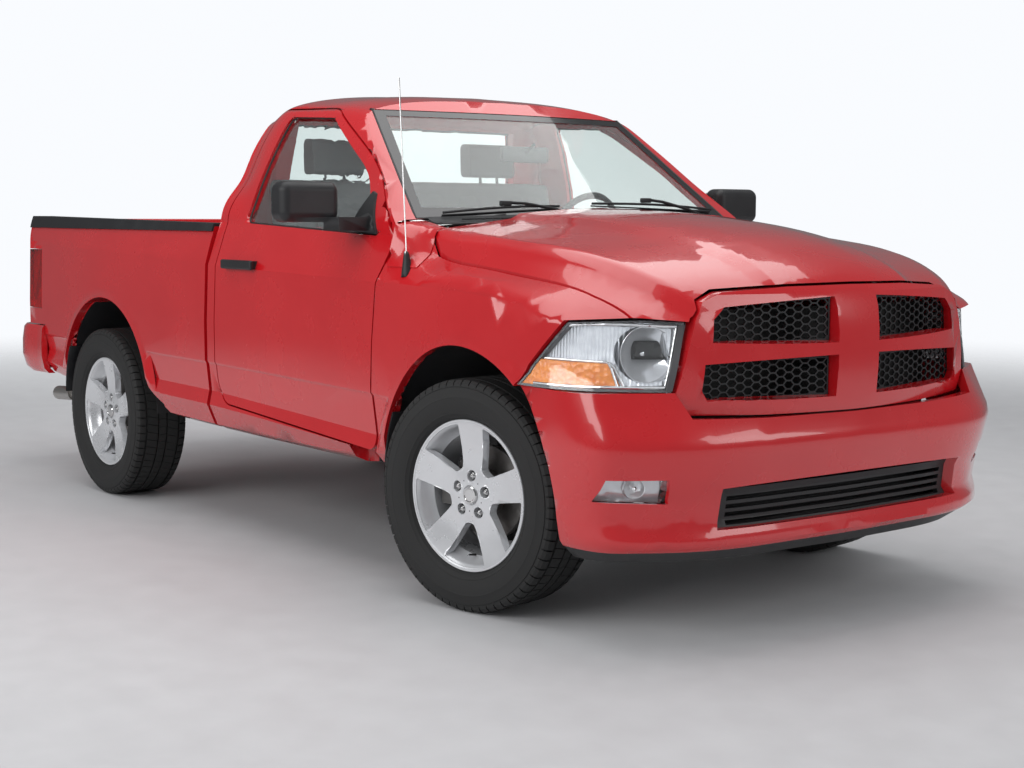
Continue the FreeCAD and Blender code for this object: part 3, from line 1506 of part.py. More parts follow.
def disc_profile():
    """A brake disc with its hat and the hub's nose, as (place along the axle, radius)."""
    face = size("wheel_face") - exact(44) - size("seat_gap")
    thick = size("disc_thickness")
    outer = size("disc_diameter") / 2
    hat = size("hub_radius")
    nose = size("hub_bore") / 2 - exact(12) - size("seat_gap")
    bore = size("stub_radius") + size("seat_gap")
    return [
        (face + exact(20), bore), (face + exact(20), nose), (face, nose), (face, hat),
        (face - exact(52), hat), (face - exact(52), outer),
        (face - exact(52) - thick, outer), (face - exact(52) - thick, bore),
    ]


def make_wheel(name, x, y, side, turn_degrees):
    """One wheel with its tyre, at the end of an axle, and the brake disc that it is bolted to."""
    turn = Rotation(Vector(0, 0, 1), turn_degrees + (0 if side > 0 else 180))
    tyre = ring_body("tyre_" + name, tyre_profile(), "tyre")
    wheel = add_body("wheel_" + name)
    sketch = plane_sketch(wheel, "YZ_Plane", "wheel_profile")
    draw_outline(sketch, wheel_profile())
    add_revolution(wheel, sketch, "wheel_turned")
    turned_pocket(wheel, window_corners(), 5, "window")
    bolts = plane_sketch(wheel, "XZ_Plane", "bolt_outline")
    draw_circle(bolts, exact(0), size("bolt_circle") / 2, size("bolt_hole") / 2)
    bolt = add_pocket(wheel, bolts, "bolt")
    repeat_about_axis(wheel, bolts, bolt, 5, "bolt")
    disc = ring_body("disc_" + name, disc_profile(), "disc")
    for body in (tyre, wheel, disc):
        place_body(body, x, y, AXLE_HEIGHT, turn)


def make_wheels():
    """The four wheels, the front pair turned to the left."""
    steer = mm("steer_angle")
    for name, x, track, side, turn in (
        ("front_left", FRONT_AXLE, "track_front", 1, steer), ("front_right", FRONT_AXLE, "track_front", -1, steer),
        ("rear_left", REAR_AXLE, "track_rear", 1, 0), ("rear_right", REAR_AXLE, "track_rear", -1, 0),
    ):
        half = size(track) / 2
        y = half if side > 0 else -half
        if turn:
            inset = size("kingpin_inset")
            y = (half - inset + inset * exact(math.cos(math.radians(turn)))) * exact(side)
            x = x - inset * exact(math.sin(math.radians(turn)) * side)
        make_wheel(name, x, y, side, turn)


def solid_body(label, role, corners, length, offset=None):
    """A body extruded from one outline, to both sides of its plane."""
    body = add_body(label)
    sketch = plane_sketch(body, role, label + "_outline", offset)
    draw_outline(sketch, corners)
    add_pad(body, sketch, length, True, label + "_pad")
    return body


def make_frame():
    """The ladder frame: two rails that rise over the axles, joined by cross members."""
    body = add_body("frame")
    top = RAIL_TOP
    high = BED_UNDERSIDE - size("seat_gap")
    deep = size("rail_section_height")
    front_rise = exact(60)
    front = FRONT_AXLE + exact(850)
    rear = REAR_AXLE - exact(1120)
    tail = exact(780) - size("seat_gap")
    upper = [
        (front, top + exact(10)), (FRONT_AXLE + exact(420), top + exact(10)),
        (FRONT_AXLE + exact(250), top + front_rise), (FRONT_AXLE - exact(250), top + front_rise),
        (FRONT_AXLE - exact(458), top), (REAR_AXLE + exact(640), top), (REAR_AXLE + exact(340), high),
        (REAR_AXLE - exact(880), high), (REAR_AXLE - exact(960), tail), (rear, tail),
    ]
    outline = upper + [(x, z - deep) for x, z in upper[::-1]]
    spacing = size("rail_half_spacing")
    members = (
        (FRONT_AXLE + exact(640), top - exact(50), exact(90)),
        (FRONT_AXLE - exact(60), top - exact(98) - size("seat_gap"), exact(150)),
        (FRONT_AXLE - exact(1000), top - exact(168) - size("seat_gap"), exact(110)),
        (REAR_AXLE + exact(760), top - exact(70), exact(90)),
        (REAR_AXLE + exact(270), high - exact(60), exact(80)),
        (REAR_AXLE - exact(430), high - exact(60), exact(90)),
        (REAR_AXLE - exact(880), high - exact(70), exact(90)),
    )
    outer = spacing + size("rail_section_width") / 2
    for side, name in ((-1, "left"), (1, "right")):
        sketch = plane_sketch(body, "XZ_Plane", name + "_rail_outline", spacing * exact(side))
        draw_outline(sketch, outline)
        add_pad(body, sketch, size("rail_section_width"), True, name + "_rail")
        if side < 0:
            for index, (place, height, long) in enumerate(members):
                add_box_pad(body, "member_%d" % index, (place - long / 2, place + long / 2),
                            (height - exact(38), height + exact(38)), spacing * 2, exact(0))
        add_box_pad(body, name + "_arm_mount", (FRONT_AXLE - exact(200), FRONT_AXLE + exact(200)),
                    (exact(232), top - exact(60)), exact(50), (outer - exact(25)) * exact(side))
        add_box_pad(body, name + "_tower", (FRONT_AXLE - exact(58), FRONT_AXLE + exact(58)),
                    (top + front_rise - exact(14), top + front_rise), exact(170), (outer + exact(70)) * exact(side))


def add_box_pad(body, name, x, z, length, offset):
    """Add a rectangular bar across the vehicle to a body, centred an offset to its right."""
    sketch = plane_sketch(body, "XZ_Plane", name + "_outline", offset)
    draw_outline(sketch, [(x[0], z[0]), (x[1], z[0]), (x[1], z[1]), (x[0], z[1])])
    add_pad(body, sketch, length, True, name)


def make_powertrain():
    """The engine as one plain block, with its gearbox."""
    body = add_body("powertrain")
    axle = FRONT_AXLE
    base = RAIL_TOP
    sketch = plane_sketch(body, "XZ_Plane", "engine_outline")
    draw_outline(sketch, [
        (axle + exact(380), base - exact(60)), (axle + exact(380), base + exact(420)),
        (axle - exact(300), base + exact(440)), (axle - exact(300), base - exact(10)),
        (axle - exact(250), base - exact(60)),
    ])
    add_pad(body, sketch, exact(560), True, "engine")
    gearbox = plane_sketch(body, "XZ_Plane", "gearbox_outline")
    draw_outline(gearbox, [
        (axle - exact(290), base - exact(50)), (axle - exact(290), base + exact(280)),
        (axle - exact(440), base - exact(6)), (axle - exact(1050), base - exact(10)),
        (axle - exact(1050), base - exact(130)), (axle - exact(500), base - exact(130)),
    ])
    add_pad(body, gearbox, exact(260), True, "gearbox")


def cylinder_between(start, end, radius):
    """A round bar from one point to another."""
    run = end - start
    return Part.makeCylinder(radius, run.Length, start, run)


def drive_shaft():
    """The shaft from the gearbox to the rear axle, with its two joints."""
    start = Vector(ahead(-1050) - mm("seat_gap"), 0, rail_top - 70)
    end = Vector(rear_x + 195 + mm("seat_gap"), 0, axle_height + 10)
    run = end - start
    run.normalize()
    tube = cylinder_between(start + run * 60, end - run * 60, 44)
    front_joint = cylinder_between(start, start + run * 70, 30)
    rear_joint = cylinder_between(end - run * 70, end, 30)
    shaft = tube.fuse(front_joint).fuse(rear_joint)
    ends = block((rear_x + 195 + mm("seat_gap"), ahead(-1050) - mm("seat_gap")), (-200, 200), (300, 700))
    return largest(shaft.common(ends))


def make_rear_axle():
    """The live rear axle with its differential and the shaft that turns it."""
    half = mm("track_rear") / 2 + mm("wheel_face") - 44 - 52 - mm("disc_thickness") - 2 * mm("seat_gap")
    height = axle_height
    spring_half = mm("rail_half_spacing")
    tube = Part.makeCylinder(42, half * 2, Vector(rear_x, -half, height), Vector(0, 1, 0))
    stub = Part.makeCylinder(mm("stub_radius"), half * 2 + 140, Vector(rear_x, -half - 70, height), Vector(0, 1, 0))
    case = Part.makeCylinder(148, 150, Vector(rear_x, -75, height), Vector(0, 1, 0))
    for side in (1, -1):
        case = case.fuse(Part.makeCone(148, 70, 70, Vector(rear_x, side * 75, height), Vector(0, side, 0)))
    nose = Part.makeCone(62, 100, 110, Vector(rear_x + 195, 0, height + 10), Vector(-1, 0, 0))
    axle = tube.fuse(stub).fuse(case).fuse(nose)
    for side in (1, -1):
        seat = Part.makeCylinder(70, 44, Vector(rear_x, side * spring_half, height + 22))
        flange = Part.makeCylinder(84, 14, Vector(rear_x, side * half, height), Vector(0, -side, 0))
        arm_eye = block((rear_x - 40, rear_x + 60), (side * 300, side * 350), (height - 90, height + 20))
        axle = axle.fuse(seat).fuse(flange).fuse(arm_eye)
    axle = solid_of(axle)
    add_feature("rear_axle", Part.makeCompound([axle, drive_shaft()]))
    return axle


def make_rear_suspension(axle):
    """The coil springs, dampers and control arms between the rear axle and the frame."""
    height = axle_height
    spring_half = mm("rail_half_spacing")
    outer = spring_half + mm("rail_section_width") / 2
    inner = spring_half - mm("rail_section_width") / 2
    gap = mm("seat_gap")
    low = height + 66 + gap
    high = bed_underside - 2 * gap - mm("rail_section_height")
    pieces = []
    for side in (1, -1):
        core = Part.makeCylinder(40, high - low, Vector(rear_x, side * spring_half, low))
        coil = core
        turns = 3
        for i in range(turns):
            middle = low + (high - low) * (i + 0.5) / turns
            coil = coil.fuse(Part.makeCylinder(57, 17, Vector(rear_x, side * spring_half, middle - 8.5)))
        pieces.append(solid_of(coil))
        start = Vector(rear_x + 35, side * 325, height - 60)
        end = Vector(rear_x + 640, side * (inner - 22 - gap), rail_top - mm("rail_section_height") + 40)
        pieces.append(largest(cylinder_between(start, end, 22).cut(axle)))
        foot = Vector(rear_x - 75, side * 560, height - 10)
        head = Vector(rear_x - 190, side * (outer + 27 + gap), bed_underside - 40)
        pin = Part.makeCylinder(12, 130, foot + Vector(-6, 0, 0), Vector(1, 0, 0))
        pieces.append(largest(cylinder_between(foot, head, 27).fuse(pin).cut(axle)))
    add_feature("rear_suspension", Part.makeCompound(pieces))


def kingpin(side):
    """The place of the line that a front wheel steers about, at the axle's height."""
    return Vector(front_x, side * (mm("track_front") / 2 - mm("kingpin_inset")), axle_height)


def make_knuckles():
    """The two steering knuckles, each with its stub, its brake caliper and its steering arm."""
    turn = mm("steer_angle")
    gap = mm("seat_gap")
    disc_out = mm("kingpin_inset") + mm("wheel_face") - 44 - gap - 52
    disc_in = disc_out - mm("disc_thickness")
    for side, name in ((1, "left"), (-1, "right")):
        post = Part.makeCylinder(24, 300, Vector(0, 0, -150))
        body = post.fuse(block((-52, 52), (-26, 30), (-95, 95)))
        body = body.fuse(Part.makeCylinder(46, disc_in - gap - 20, Vector(0, 20, 0), Vector(0, 1, 0)))
        body = body.fuse(Part.makeCylinder(mm("stub_radius"), 90, Vector(0, disc_in - 20, 0), Vector(0, 1, 0)))
        arm = plan_prism([(-30, -24), (-30, 24), (-190, -30), (-190, -64)], -86, -56)
        caliper = block((-205, -112), (disc_in - 50, disc_out + 26), (-60, 60))
        room = Part.makeCylinder(mm("disc_diameter") / 2 + 5, mm("disc_thickness") + 10,
                                 Vector(0, disc_in - 5, 0), Vector(0, 1, 0))
        caliper = caliper.cut(room).cut(Part.makeCylinder(118, 60, Vector(0, disc_out + 2, 0), Vector(0, 1, 0)))
        bracket = block((-150, -20), (4, 42), (-50, 50))
        body = solid_of(body.fuse(arm).fuse(largest(caliper)).fuse(bracket))
        if side < 0:
            body = mirrored(body)
        body.rotate(Vector(0, 0, 0), Vector(0, 0, 1), turn)
        body.translate(kingpin(side))
        add_feature("knuckle_" + name, solid_of(body))


def make_front_suspension():
    """The upper and lower arms that carry the knuckles, and the spring struts between them."""
    pieces = []
    gap = mm("seat_gap")
    rail = mm("rail_half_spacing") + mm("rail_section_width") / 2 + gap
    low_top = axle_height - 150 - gap
    for side in (1, -1):
        pin = kingpin(side)
        for low, high, hollow in ((low_top - 34, low_top, 60), (axle_height + 150 + gap, axle_height + 176 + gap, 225)):
            joint = Part.makeCylinder(42, high - low, Vector(pin.x, pin.y, low))
            arm = plan_prism([
                (pin.x - 34, pin.y), (pin.x + 34, pin.y), (pin.x + 190, side * rail), (pin.x + 130, side * rail),
                (pin.x, side * (rail + hollow)), (pin.x - 130, side * rail), (pin.x - 190, side * rail),
            ], low, high)
            pieces.append(solid_of(joint.fuse(arm)))
        foot = Vector(pin.x, side * 565, low_top + gap)
        tower = rail_top + 60 - 14 - gap
        strut = Part.makeCylinder(28, tower - foot.z, foot)
        for i in range(3):
            strut = strut.fuse(Part.makeCylinder(43, 26, Vector(foot.x, foot.y, foot.z + 150 + i * 84)))
        pieces.append(solid_of(strut))
    add_feature("front_suspension", Part.makeCompound(pieces))


def open_rounded_wire(corners, radius):
    """A path of straight runs through points, joined by tangent arcs of one radius."""
    edges = []
    start = corners[0]
    for before, here, after in zip(corners, corners[1:], corners[2:]):
        back = before - here
        onward = after - here
        half = back.getAngle(onward) / 2
        reach = radius / math.tan(half)
        back.normalize()
        onward.normalize()
        bisector = back + onward
        bisector.normalize()
        enter = here + back * reach
        leave = here + onward * reach
        middle = here + bisector * (radius / math.sin(half) - radius)
        edges.append(Part.LineSegment(start, enter).toShape())
        edges.append(Part.Arc(enter, middle, leave).toShape())
        start = leave
    edges.append(Part.LineSegment(start, corners[-1]).toShape())
    return Part.Wire(edges)


def make_exhaust():
    """The exhaust on the right: the silencer, its pipes and the tip behind the wheel."""
    beside_engine = 280 + 32 + mm("seat_gap")
    end = Vector(-HALF_LENGTH + 236, -800, 412)
    points = [
        Vector(ahead(-170), -beside_engine, 600), Vector(ahead(-900), -beside_engine - 6, 585),
        Vector(ahead(-1700), -272, 530), Vector(ahead(-2300), -285, 488), Vector(rear_x + 420, -285, 555),
        Vector(rear_x + 180, -560, 596),
        Vector(rear_x - 160, -610, 606), Vector(rear_x - 470, -640, 520), Vector(rear_x - 640, -790, 436), end,
    ]
    wire = open_rounded_wire(points, 70)
    profile = Part.Wire([Part.Circle(points[0], points[1] - points[0], 32).toShape()])
    pipe = wire.makePipeShell([profile], True, True)
    rail = mm("rail_half_spacing") - mm("rail_section_width") / 2 - mm("seat_gap")
    muffler = rounded_box((ahead(-2245), ahead(-1720)), (-rail, -168), (430, 570), 50)
    tip = cylinder_between(Vector(end.x + 190, end.y, end.z + 12), Vector(end.x - 22, end.y, end.z - 1), 38)
    add_feature("exhaust", solid_of(pipe.fuse(muffler).fuse(tip)))


def make_fuel_tank():
    """The fuel tank on the left, between the frame and the sill."""
    x = FRONT_AXLE - size("wheelbase") / 2 + exact(60)
    side = size("rail_half_spacing") + size("rail_section_width") / 2 + exact(150) + size("seat_gap")
    solid_body("fuel_tank", "XZ_Plane", [
        (x - exact(480), exact(380)), (x + exact(480), exact(380)), (x + exact(500), exact(440)),
        (x + exact(500), exact(600)), (x - exact(500), exact(600)), (x - exact(500), exact(440)),
    ], exact(300), -side)


def make_arch_liners():
    """Black liners inside the two front wheel arches."""
    inner = mm("rail_half_spacing") + mm("rail_section_width") / 2 + 57
    outer = mm("side_half") - mm("skin_thickness") - 16
    liner = arch_prism(front_arch(32), inner, outer).cut(arch_prism(front_arch(26), inner - 1, outer + 1, 100))
    liner = liner.cut(block((ahead(-600), ahead(-440)), (776, 1200), (0, 2000)))
    liner = liner.cut(block((ahead(330), ahead(700)), (860, 1200), (0, 2000)))
    liner = liner.cut(block((ahead(-600), ahead(700)), (0, 1200), (0, mm("sill_height"))))
    top = liner.optimalBoundingBox(False).ZMax
    clip = block((ahead(-14), ahead(14)), (outer - 10, outer + mm("liner_clip_reach")), (top - 5, top - 1))
    add_feature("arch_liners", both_sides(largest(liner.fuse(clip))))


def round_across(shape, radius):
    """Round a shape's edges that run across the vehicle."""
    return shape.makeFillet(radius, [edge for edge in shape.Edges if abs(edge.tangentAt(edge.FirstParameter).y) > 0.99])


def make_seat():
    """The bench seat with its base and its two headrests."""
    seat_x = door_rear_x + 330
    low = mm("floor_height")
    gap = mm("seat_gap")
    base = block((seat_x - 160, seat_x + 260), (-700, 700), (low + gap, low + 140 - gap))
    cushion = round_across(block((seat_x - 190, seat_x + 320), (-740, 740), (low + 140, low + 330)), 45)
    back = side_prism([
        (seat_x - 210, low + 330 + gap), (seat_x - 60, low + 330 + gap),
        (seat_x - 165, low + 900), (seat_x - 275, low + 900),
    ], -740, 740)
    back = round_across(back, 40)
    pieces = [base, cushion, back]
    for y in (-430, 430):
        rest = side_prism([
            (seat_x - 285, low + 930), (seat_x - 195, low + 925),
            (seat_x - 215, low + 1085), (seat_x - 290, low + 1085),
        ], y - 130, y + 130)
        rest = round_across(rest, 28)
        for d in (-50, 50):
            rest = rest.fuse(cylinder_between(
                Vector(seat_x - 232, y + d, low + 880), Vector(seat_x - 240, y + d, low + 960), 7))
        pieces.append(largest(rest.cut(back)))
    add_feature("seat", Part.makeCompound(pieces))


WHEEL_AXIS = Vector(-0.90, 0, 0.436)
WHEEL_AXIS.normalize()


def make_dashboard():
    """The dashboard with its column, and the steering wheel on it."""
    belt = mm("belt_height")
    gap = mm("seat_gap")
    front = ahead(-490) - gap
    dash = side_prism([
        (front, belt - 330), (front, belt - 30), (ahead(-620), belt + 26), (ahead(-760), belt - 10),
        (ahead(-840), belt - 90), (ahead(-830), belt - 200), (ahead(-700), belt - 330),
    ], -780, 780)
    centre = Vector(ahead(-1034), 447, 1331)
    across = Vector(0, 1, 0)
    column = cylinder_between(centre - WHEEL_AXIS * 290, centre - WHEEL_AXIS * 42, 34)
    add_feature("dashboard", solid_of(dash.fuse(column)))
    section = []
    for i in range(8):
        angle = math.pi * (i + 0.5) / 4
        section.append(centre + across * (178 + 15 * math.cos(angle)) + WHEEL_AXIS * (15 * math.sin(angle)))
    ring = polygon_face(section).revolve(centre, WHEEL_AXIS, 360)
    hub = Part.makeCylinder(58, 62 - gap, centre - WHEEL_AXIS * (42 - gap), WHEEL_AXIS)
    down = WHEEL_AXIS.cross(across)
    ring = ring.fuse(hub)
    for direction in (across, -across, down):
        ring = ring.fuse(cylinder_between(centre, centre + direction * 172, 13))
    add_feature("steering_wheel", solid_of(ring))


def rounded_box(x, y, z, radius):
    """A box with every edge rounded."""
    box = block(x, y, z)
    return box.makeFillet(radius, box.Edges)


def make_door_trim(door):
    """On each door, the mirror on its arm and sail, and the outer handle."""
    belt = mm("belt_height")
    sail = window_band(-11, 10.7).common(side_prism([
        (ahead(-600), belt - 14), (ahead(-790), belt - 2), (ahead(-728), belt + 150), (ahead(-700), belt + 140),
    ], 600, 1200))
    arm = block((ahead(-775), ahead(-660)), (908, 1060), (belt - 2, belt + 50))
    case = rounded_box((ahead(-842), ahead(-725)), (1010, 1264), (belt + 30, belt + 184), 38)
    mirror = largest(arm.fuse(case).fuse(largest(sail)).cut(door))
    half = mm("shoulder_half")
    height = mm("shoulder_height") + 26
    middle = door_rear_x + 235
    handle = rounded_box((middle - 135, middle + 135), (half + 14, half + 34), (height - 20, height + 20), 9)
    for place in (middle - 122, middle + 66):
        handle = handle.fuse(block((place, place + 56), (half - 40, half + 22), (height - 17, height + 17)))
    handle = largest(handle.cut(door))
    add_feature("door_trim_left", Part.makeCompound([mirror, handle]))
    add_feature("door_trim_right", mirrored(Part.makeCompound([mirror, handle])))


def make_antenna(fender):
    """The mast on the right fender, on its pointed base."""
    foot = Vector(ahead(-366), -948, 1196)
    tip = Vector(ahead(-495), -896, 1912)
    run = tip - foot
    mast = cylinder_between(foot, tip, 2.6)
    base = Part.makeCone(24, 9, 96, foot - run * 0.03, run)
    add_feature("antenna", largest(mast.fuse(base).cut(fender)))


def make_front_support(bumper_inner, lamps):
    """The radiator panel over the frame's front, its brackets and the beam behind the bumper."""
    gap = mm("seat_gap")
    low = rail_top + 10 + gap
    panel = block((ahead(700), ahead(740)), (-640, 640), (low, 1090))
    post = block((ahead(735), ahead(970)), (-40, 40), (880, 960)).common(grille_volume(46 + gap))
    panel = panel.fuse(post)
    for side in (1, -1):
        wing = block((ahead(705), ahead(800)), (side * 600, side * 790), (940, 1000))
        panel = panel.fuse(wing)
    panel = largest(panel.cut(lamps))
    beam = block((ahead(850) + gap, ahead(1000)), (-560, 560), (575, 640)).common(bumper_inner)
    add_feature("front_support", Part.makeCompound([panel, largest(beam)]))


HOOD_AXIS = (ahead(-420), 1345)


def hood_arms():
    """The two arms under the hood that turn on its hinge pins."""
    x, z = HOOD_AXIS
    arms = []
    for y in (722, -730):
        arm = side_prism([
            (x - 12, z - 12), (x - 12, z + 6), (x - 2, z + 13), (x + 10, z + 12), (x + 76, z - 6),
            (x + 170, z - 6), (x + 170, z - 34), (x + 20, z - 30),
        ], y, y + 8)
        bore = Part.makeCylinder(5 + mm("seat_gap"), 20, Vector(x, y - 6, z), Vector(0, 1, 0))
        arms.append(arm.cut(bore))
    return arms


def make_hinges(cowl):
    """The fixed halves of the hinges: arms to the door pins, and forks with pins under the cowl."""
    x, z = HOOD_AXIS
    forks = []
    for side in (1, -1):
        fork = block((x - 12, x + 12), (side * 708, side * 746), (z - 70, z + 12))
        fork = fork.cut(block((x - 14, x + 14), (side * 717, side * 735), (z - 50, z + 14)))
        foot = block((x - 60, x + 12), (side * 708, side * 746), (z - 70, z - 50))
        pin = Part.makeCylinder(5, 30, Vector(x, side * 711, z), Vector(0, side, 0))
        forks.append(largest(fork.fuse(foot).fuse(pin).cut(cowl)))
    return forks


shell = cab_volume().cut(cabin_volume())
shell, right_fender = make_hood_and_fenders(shell)
left_door, cowl = make_cab(shell)
add_feature("hinges", Part.makeCompound(door_hinge_arms() + make_hinges(cowl)))
make_glass()
bumper_inner, slats, fog_lens = make_front_bumper()
make_grille(slats)
lamp_bowls = make_lamps(fog_lens)
make_front_support(bumper_inner, lamp_bowls)
make_bed()
make_tailgate()
make_rear_bumper()
make_wheels()
make_frame()
make_powertrain()
make_rear_suspension(make_rear_axle())
make_knuckles()
make_front_suspension()
make_exhaust()
make_fuel_tank()
make_arch_liners()
make_seat()
make_dashboard()
make_door_trim(left_door)
make_antenna(right_fender)

doc.recompute()
for item in doc.Objects:
    if "Invalid" in item.State or "Error" in item.State:
        raise RuntimeError("%s is not valid: %s" % (item.Label, item.State))
for piece in subparts:
    if piece.Shape.isNull() or not piece.Shape.isValid():
        raise RuntimeError("%s has no valid shape" % piece.Label)
os.makedirs("parts", exist_ok=True)
for piece in subparts:
    piece.Shape.exportStep("parts/%s.step" % piece.Label)
    print(piece.Label, len(piece.Shape.Solids), round(piece.Shape.Volume / 1e6, 2))
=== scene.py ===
import json
import logging
import math
from collections.abc import Callable
from dataclasses import dataclass, field
from enum import Enum
from typing import ClassVar

import bpy
from mathutils import Matrix, Vector

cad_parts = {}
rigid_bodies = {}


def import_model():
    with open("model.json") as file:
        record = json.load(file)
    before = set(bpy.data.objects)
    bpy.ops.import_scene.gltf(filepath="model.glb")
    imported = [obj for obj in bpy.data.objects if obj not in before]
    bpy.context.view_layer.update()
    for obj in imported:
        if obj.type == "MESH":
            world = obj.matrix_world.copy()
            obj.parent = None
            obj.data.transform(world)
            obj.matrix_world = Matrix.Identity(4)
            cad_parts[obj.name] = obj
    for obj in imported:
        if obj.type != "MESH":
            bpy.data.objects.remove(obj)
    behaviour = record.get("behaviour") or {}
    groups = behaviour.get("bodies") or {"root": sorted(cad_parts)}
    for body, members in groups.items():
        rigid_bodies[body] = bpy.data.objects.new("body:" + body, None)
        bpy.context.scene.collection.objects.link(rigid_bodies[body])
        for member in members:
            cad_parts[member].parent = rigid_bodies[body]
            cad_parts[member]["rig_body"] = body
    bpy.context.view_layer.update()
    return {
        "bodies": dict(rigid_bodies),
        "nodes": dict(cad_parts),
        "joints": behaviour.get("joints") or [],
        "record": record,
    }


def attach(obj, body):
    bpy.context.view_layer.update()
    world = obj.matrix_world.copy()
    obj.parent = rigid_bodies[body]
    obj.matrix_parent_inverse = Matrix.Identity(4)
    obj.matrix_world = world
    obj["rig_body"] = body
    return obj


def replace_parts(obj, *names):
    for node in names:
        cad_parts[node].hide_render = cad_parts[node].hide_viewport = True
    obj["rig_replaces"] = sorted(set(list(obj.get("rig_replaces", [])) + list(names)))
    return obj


# A regular-cab pickup truck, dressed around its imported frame.
# Lengths are metres: X runs forwards, Y to the driver's side, Z up from the ground.

LOG = logging.getLogger("pickup")
Colour = tuple[float, float, float]
Point = tuple[float, float, float]
Outline = list[tuple[float, float]]
Piece = bpy.types.Object
MIRROR = Matrix.Scale(-1, 4, (0, 1, 0))


# ---------------------------------------------------------------- node groups and finishes

class Tree:
    """Adds nodes to one node tree and joins their sockets."""

    def __init__(self, tree: bpy.types.NodeTree) -> None:
        """Keep the tree that the nodes go into."""
        self.tree = tree

    @classmethod
    def of_material(cls, name: str) -> tuple[bpy.types.Material, "Tree"]:
        """Make a material, and the helper of its emptied tree."""
        material = bpy.data.materials.new(name)
        material.use_nodes = True
        material.node_tree.nodes.clear()
        return material, cls(material.node_tree)

    def feed(self, node: bpy.types.Node, values: dict[str | int, object]) -> bpy.types.Node:
        """Set a node's inputs, by name or number, to values or to the sockets that feed them."""
        for key, value in values.items():
            if isinstance(value, bpy.types.NodeSocket):
                self.tree.links.new(value, node.inputs[key])
            else:
                node.inputs[key].default_value = value
        return node

    def add(self, kind: str, values: dict[str | int, object] | None = None,
            **settings: object) -> bpy.types.Node:
        """Add one shader node.

        Args:
            kind: the node's type name, without its prefix.
            values: what its inputs are set to or fed by.
            settings: the node's own properties.

        Returns:
            The new node.
        """
        node = self.tree.nodes.new("ShaderNode" + kind)
        for name, value in settings.items():
            setattr(node, name, value)
        return self.feed(node, values or {})

    def place(self) -> bpy.types.NodeSocket:
        """The place in the object's own coordinates."""
        return self.add("TexCoord").outputs["Object"]

    def math(self, operation: str, first: object, second: object, **settings: object) -> bpy.types.NodeSocket:
        """Join two values by one operation."""
        return self.add("Math", {0: first, 1: second}, operation=operation, **settings).outputs[0]

    def mixed(self, share: object, first: object, second: object) -> bpy.types.NodeSocket:
        """Mix two colours."""
        return self.add("Mix", {0: share, 6: first, 7: second}, data_type="RGBA").outputs[2]

    def ranged(self, value: object, start: tuple = (0.0, 1.0), end: tuple = (0.0, 1.0),
               **settings: object) -> bpy.types.NodeSocket:
        """Carry a value over from one range to another."""
        ends = {"From Min": start[0], "From Max": start[1], "To Min": end[0], "To Max": end[1]}
        return self.add("MapRange", {"Value": value} | ends, **settings).outputs["Result"]


class Effect:
    """Shader node groups that several finishes place with their own values.

    The methods named in INPUTS fill the group of their own name: each takes the group's tree and the
    sockets of its inputs, and gives the sockets of its outputs by name.
    """

    INPUTS = {
        "mottle": {"Light": (1.0, 1.0, 1.0, 1.0), "Dark": (0.0, 0.0, 0.0, 1.0), "Scale": 8.0},
        "grain": {"Scale": 400.0},
        "road_dust": {"Color": (1.0, 1.0, 1.0, 1.0), "Dust": (0.2, 0.18, 0.16, 1.0), "Top": 0.6, "Amount": 0.2},
    }

    @classmethod
    def group(cls, name: str) -> bpy.types.NodeTree:
        """Make the node group of one effect."""
        group = bpy.data.node_groups.new(name, "ShaderNodeTree")
        for socket, value in cls.INPUTS[name].items():
            kind = "NodeSocketColor" if isinstance(value, tuple) else "NodeSocketFloat"
            group.interface.new_socket(socket, in_out="INPUT", socket_type=kind).default_value = value
        tree = Tree(group)
        made = getattr(cls, name)(tree, group.nodes.new("NodeGroupInput").outputs)
        for socket, source in made.items():
            kind = "NodeSocketColor" if source.type == "RGBA" else "NodeSocketFloat"
            group.interface.new_socket(socket, in_out="OUTPUT", socket_type=kind)
        tree.feed(group.nodes.new("NodeGroupOutput"), made)
        return group

    @classmethod
    def placed(cls, tree: Tree, name: str, **values: object) -> bpy.types.NodeOutputs:
        """Place one effect in a tree with its own values, and give the sockets of its outputs."""
        group = bpy.data.node_groups.get(name) or cls.group(name)
        return tree.add("Group", values, node_tree=group).outputs

    @staticmethod
    def mottle(tree: Tree, given: bpy.types.NodeOutputs) -> dict[str, bpy.types.NodeSocket]:
        """Two close tones that drift into each other, and the mask that mixes them."""
        noise = tree.add("TexNoise", {"Vector": tree.place(), "Scale": given["Scale"], "Detail": 5.0,
                                      "Roughness": 0.6})
        mask = tree.ranged(noise.outputs["Fac"], (0.32, 0.68))
        return {"Color": tree.mixed(mask, given["Dark"], given["Light"]), "Mask": mask}

    @staticmethod
    def grain(tree: Tree, given: bpy.types.NodeOutputs) -> dict[str, bpy.types.NodeSocket]:
        """The height of pebbled moulding grain."""
        where = {"Vector": tree.place(), "Scale": given["Scale"]}
        cells = tree.add("TexVoronoi", where, feature="SMOOTH_F1")
        fine = tree.add("TexNoise", where | {"Detail": 3.0})
        return {"Height": tree.math("ADD", cells.outputs["Distance"], fine.outputs["Fac"])}

    @staticmethod
    def road_dust(tree: Tree, given: bpy.types.NodeOutputs) -> dict[str, bpy.types.NodeSocket]:
        """A thin film of road dust that thickens towards the ground."""
        place = tree.place()
        height = tree.add("SeparateXYZ", {"Vector": place}).outputs["Z"]
        noise = tree.add("TexNoise", {"Vector": place, "Scale": 14.0, "Detail": 6.0})
        patchy = tree.math("MULTIPLY", tree.ranged(height, (given["Top"], 0.0)), noise.outputs["Fac"])
        share = tree.math("MULTIPLY", patchy, given["Amount"], use_clamp=True)
        return {"Color": tree.mixed(share, given["Color"], given["Dust"])}


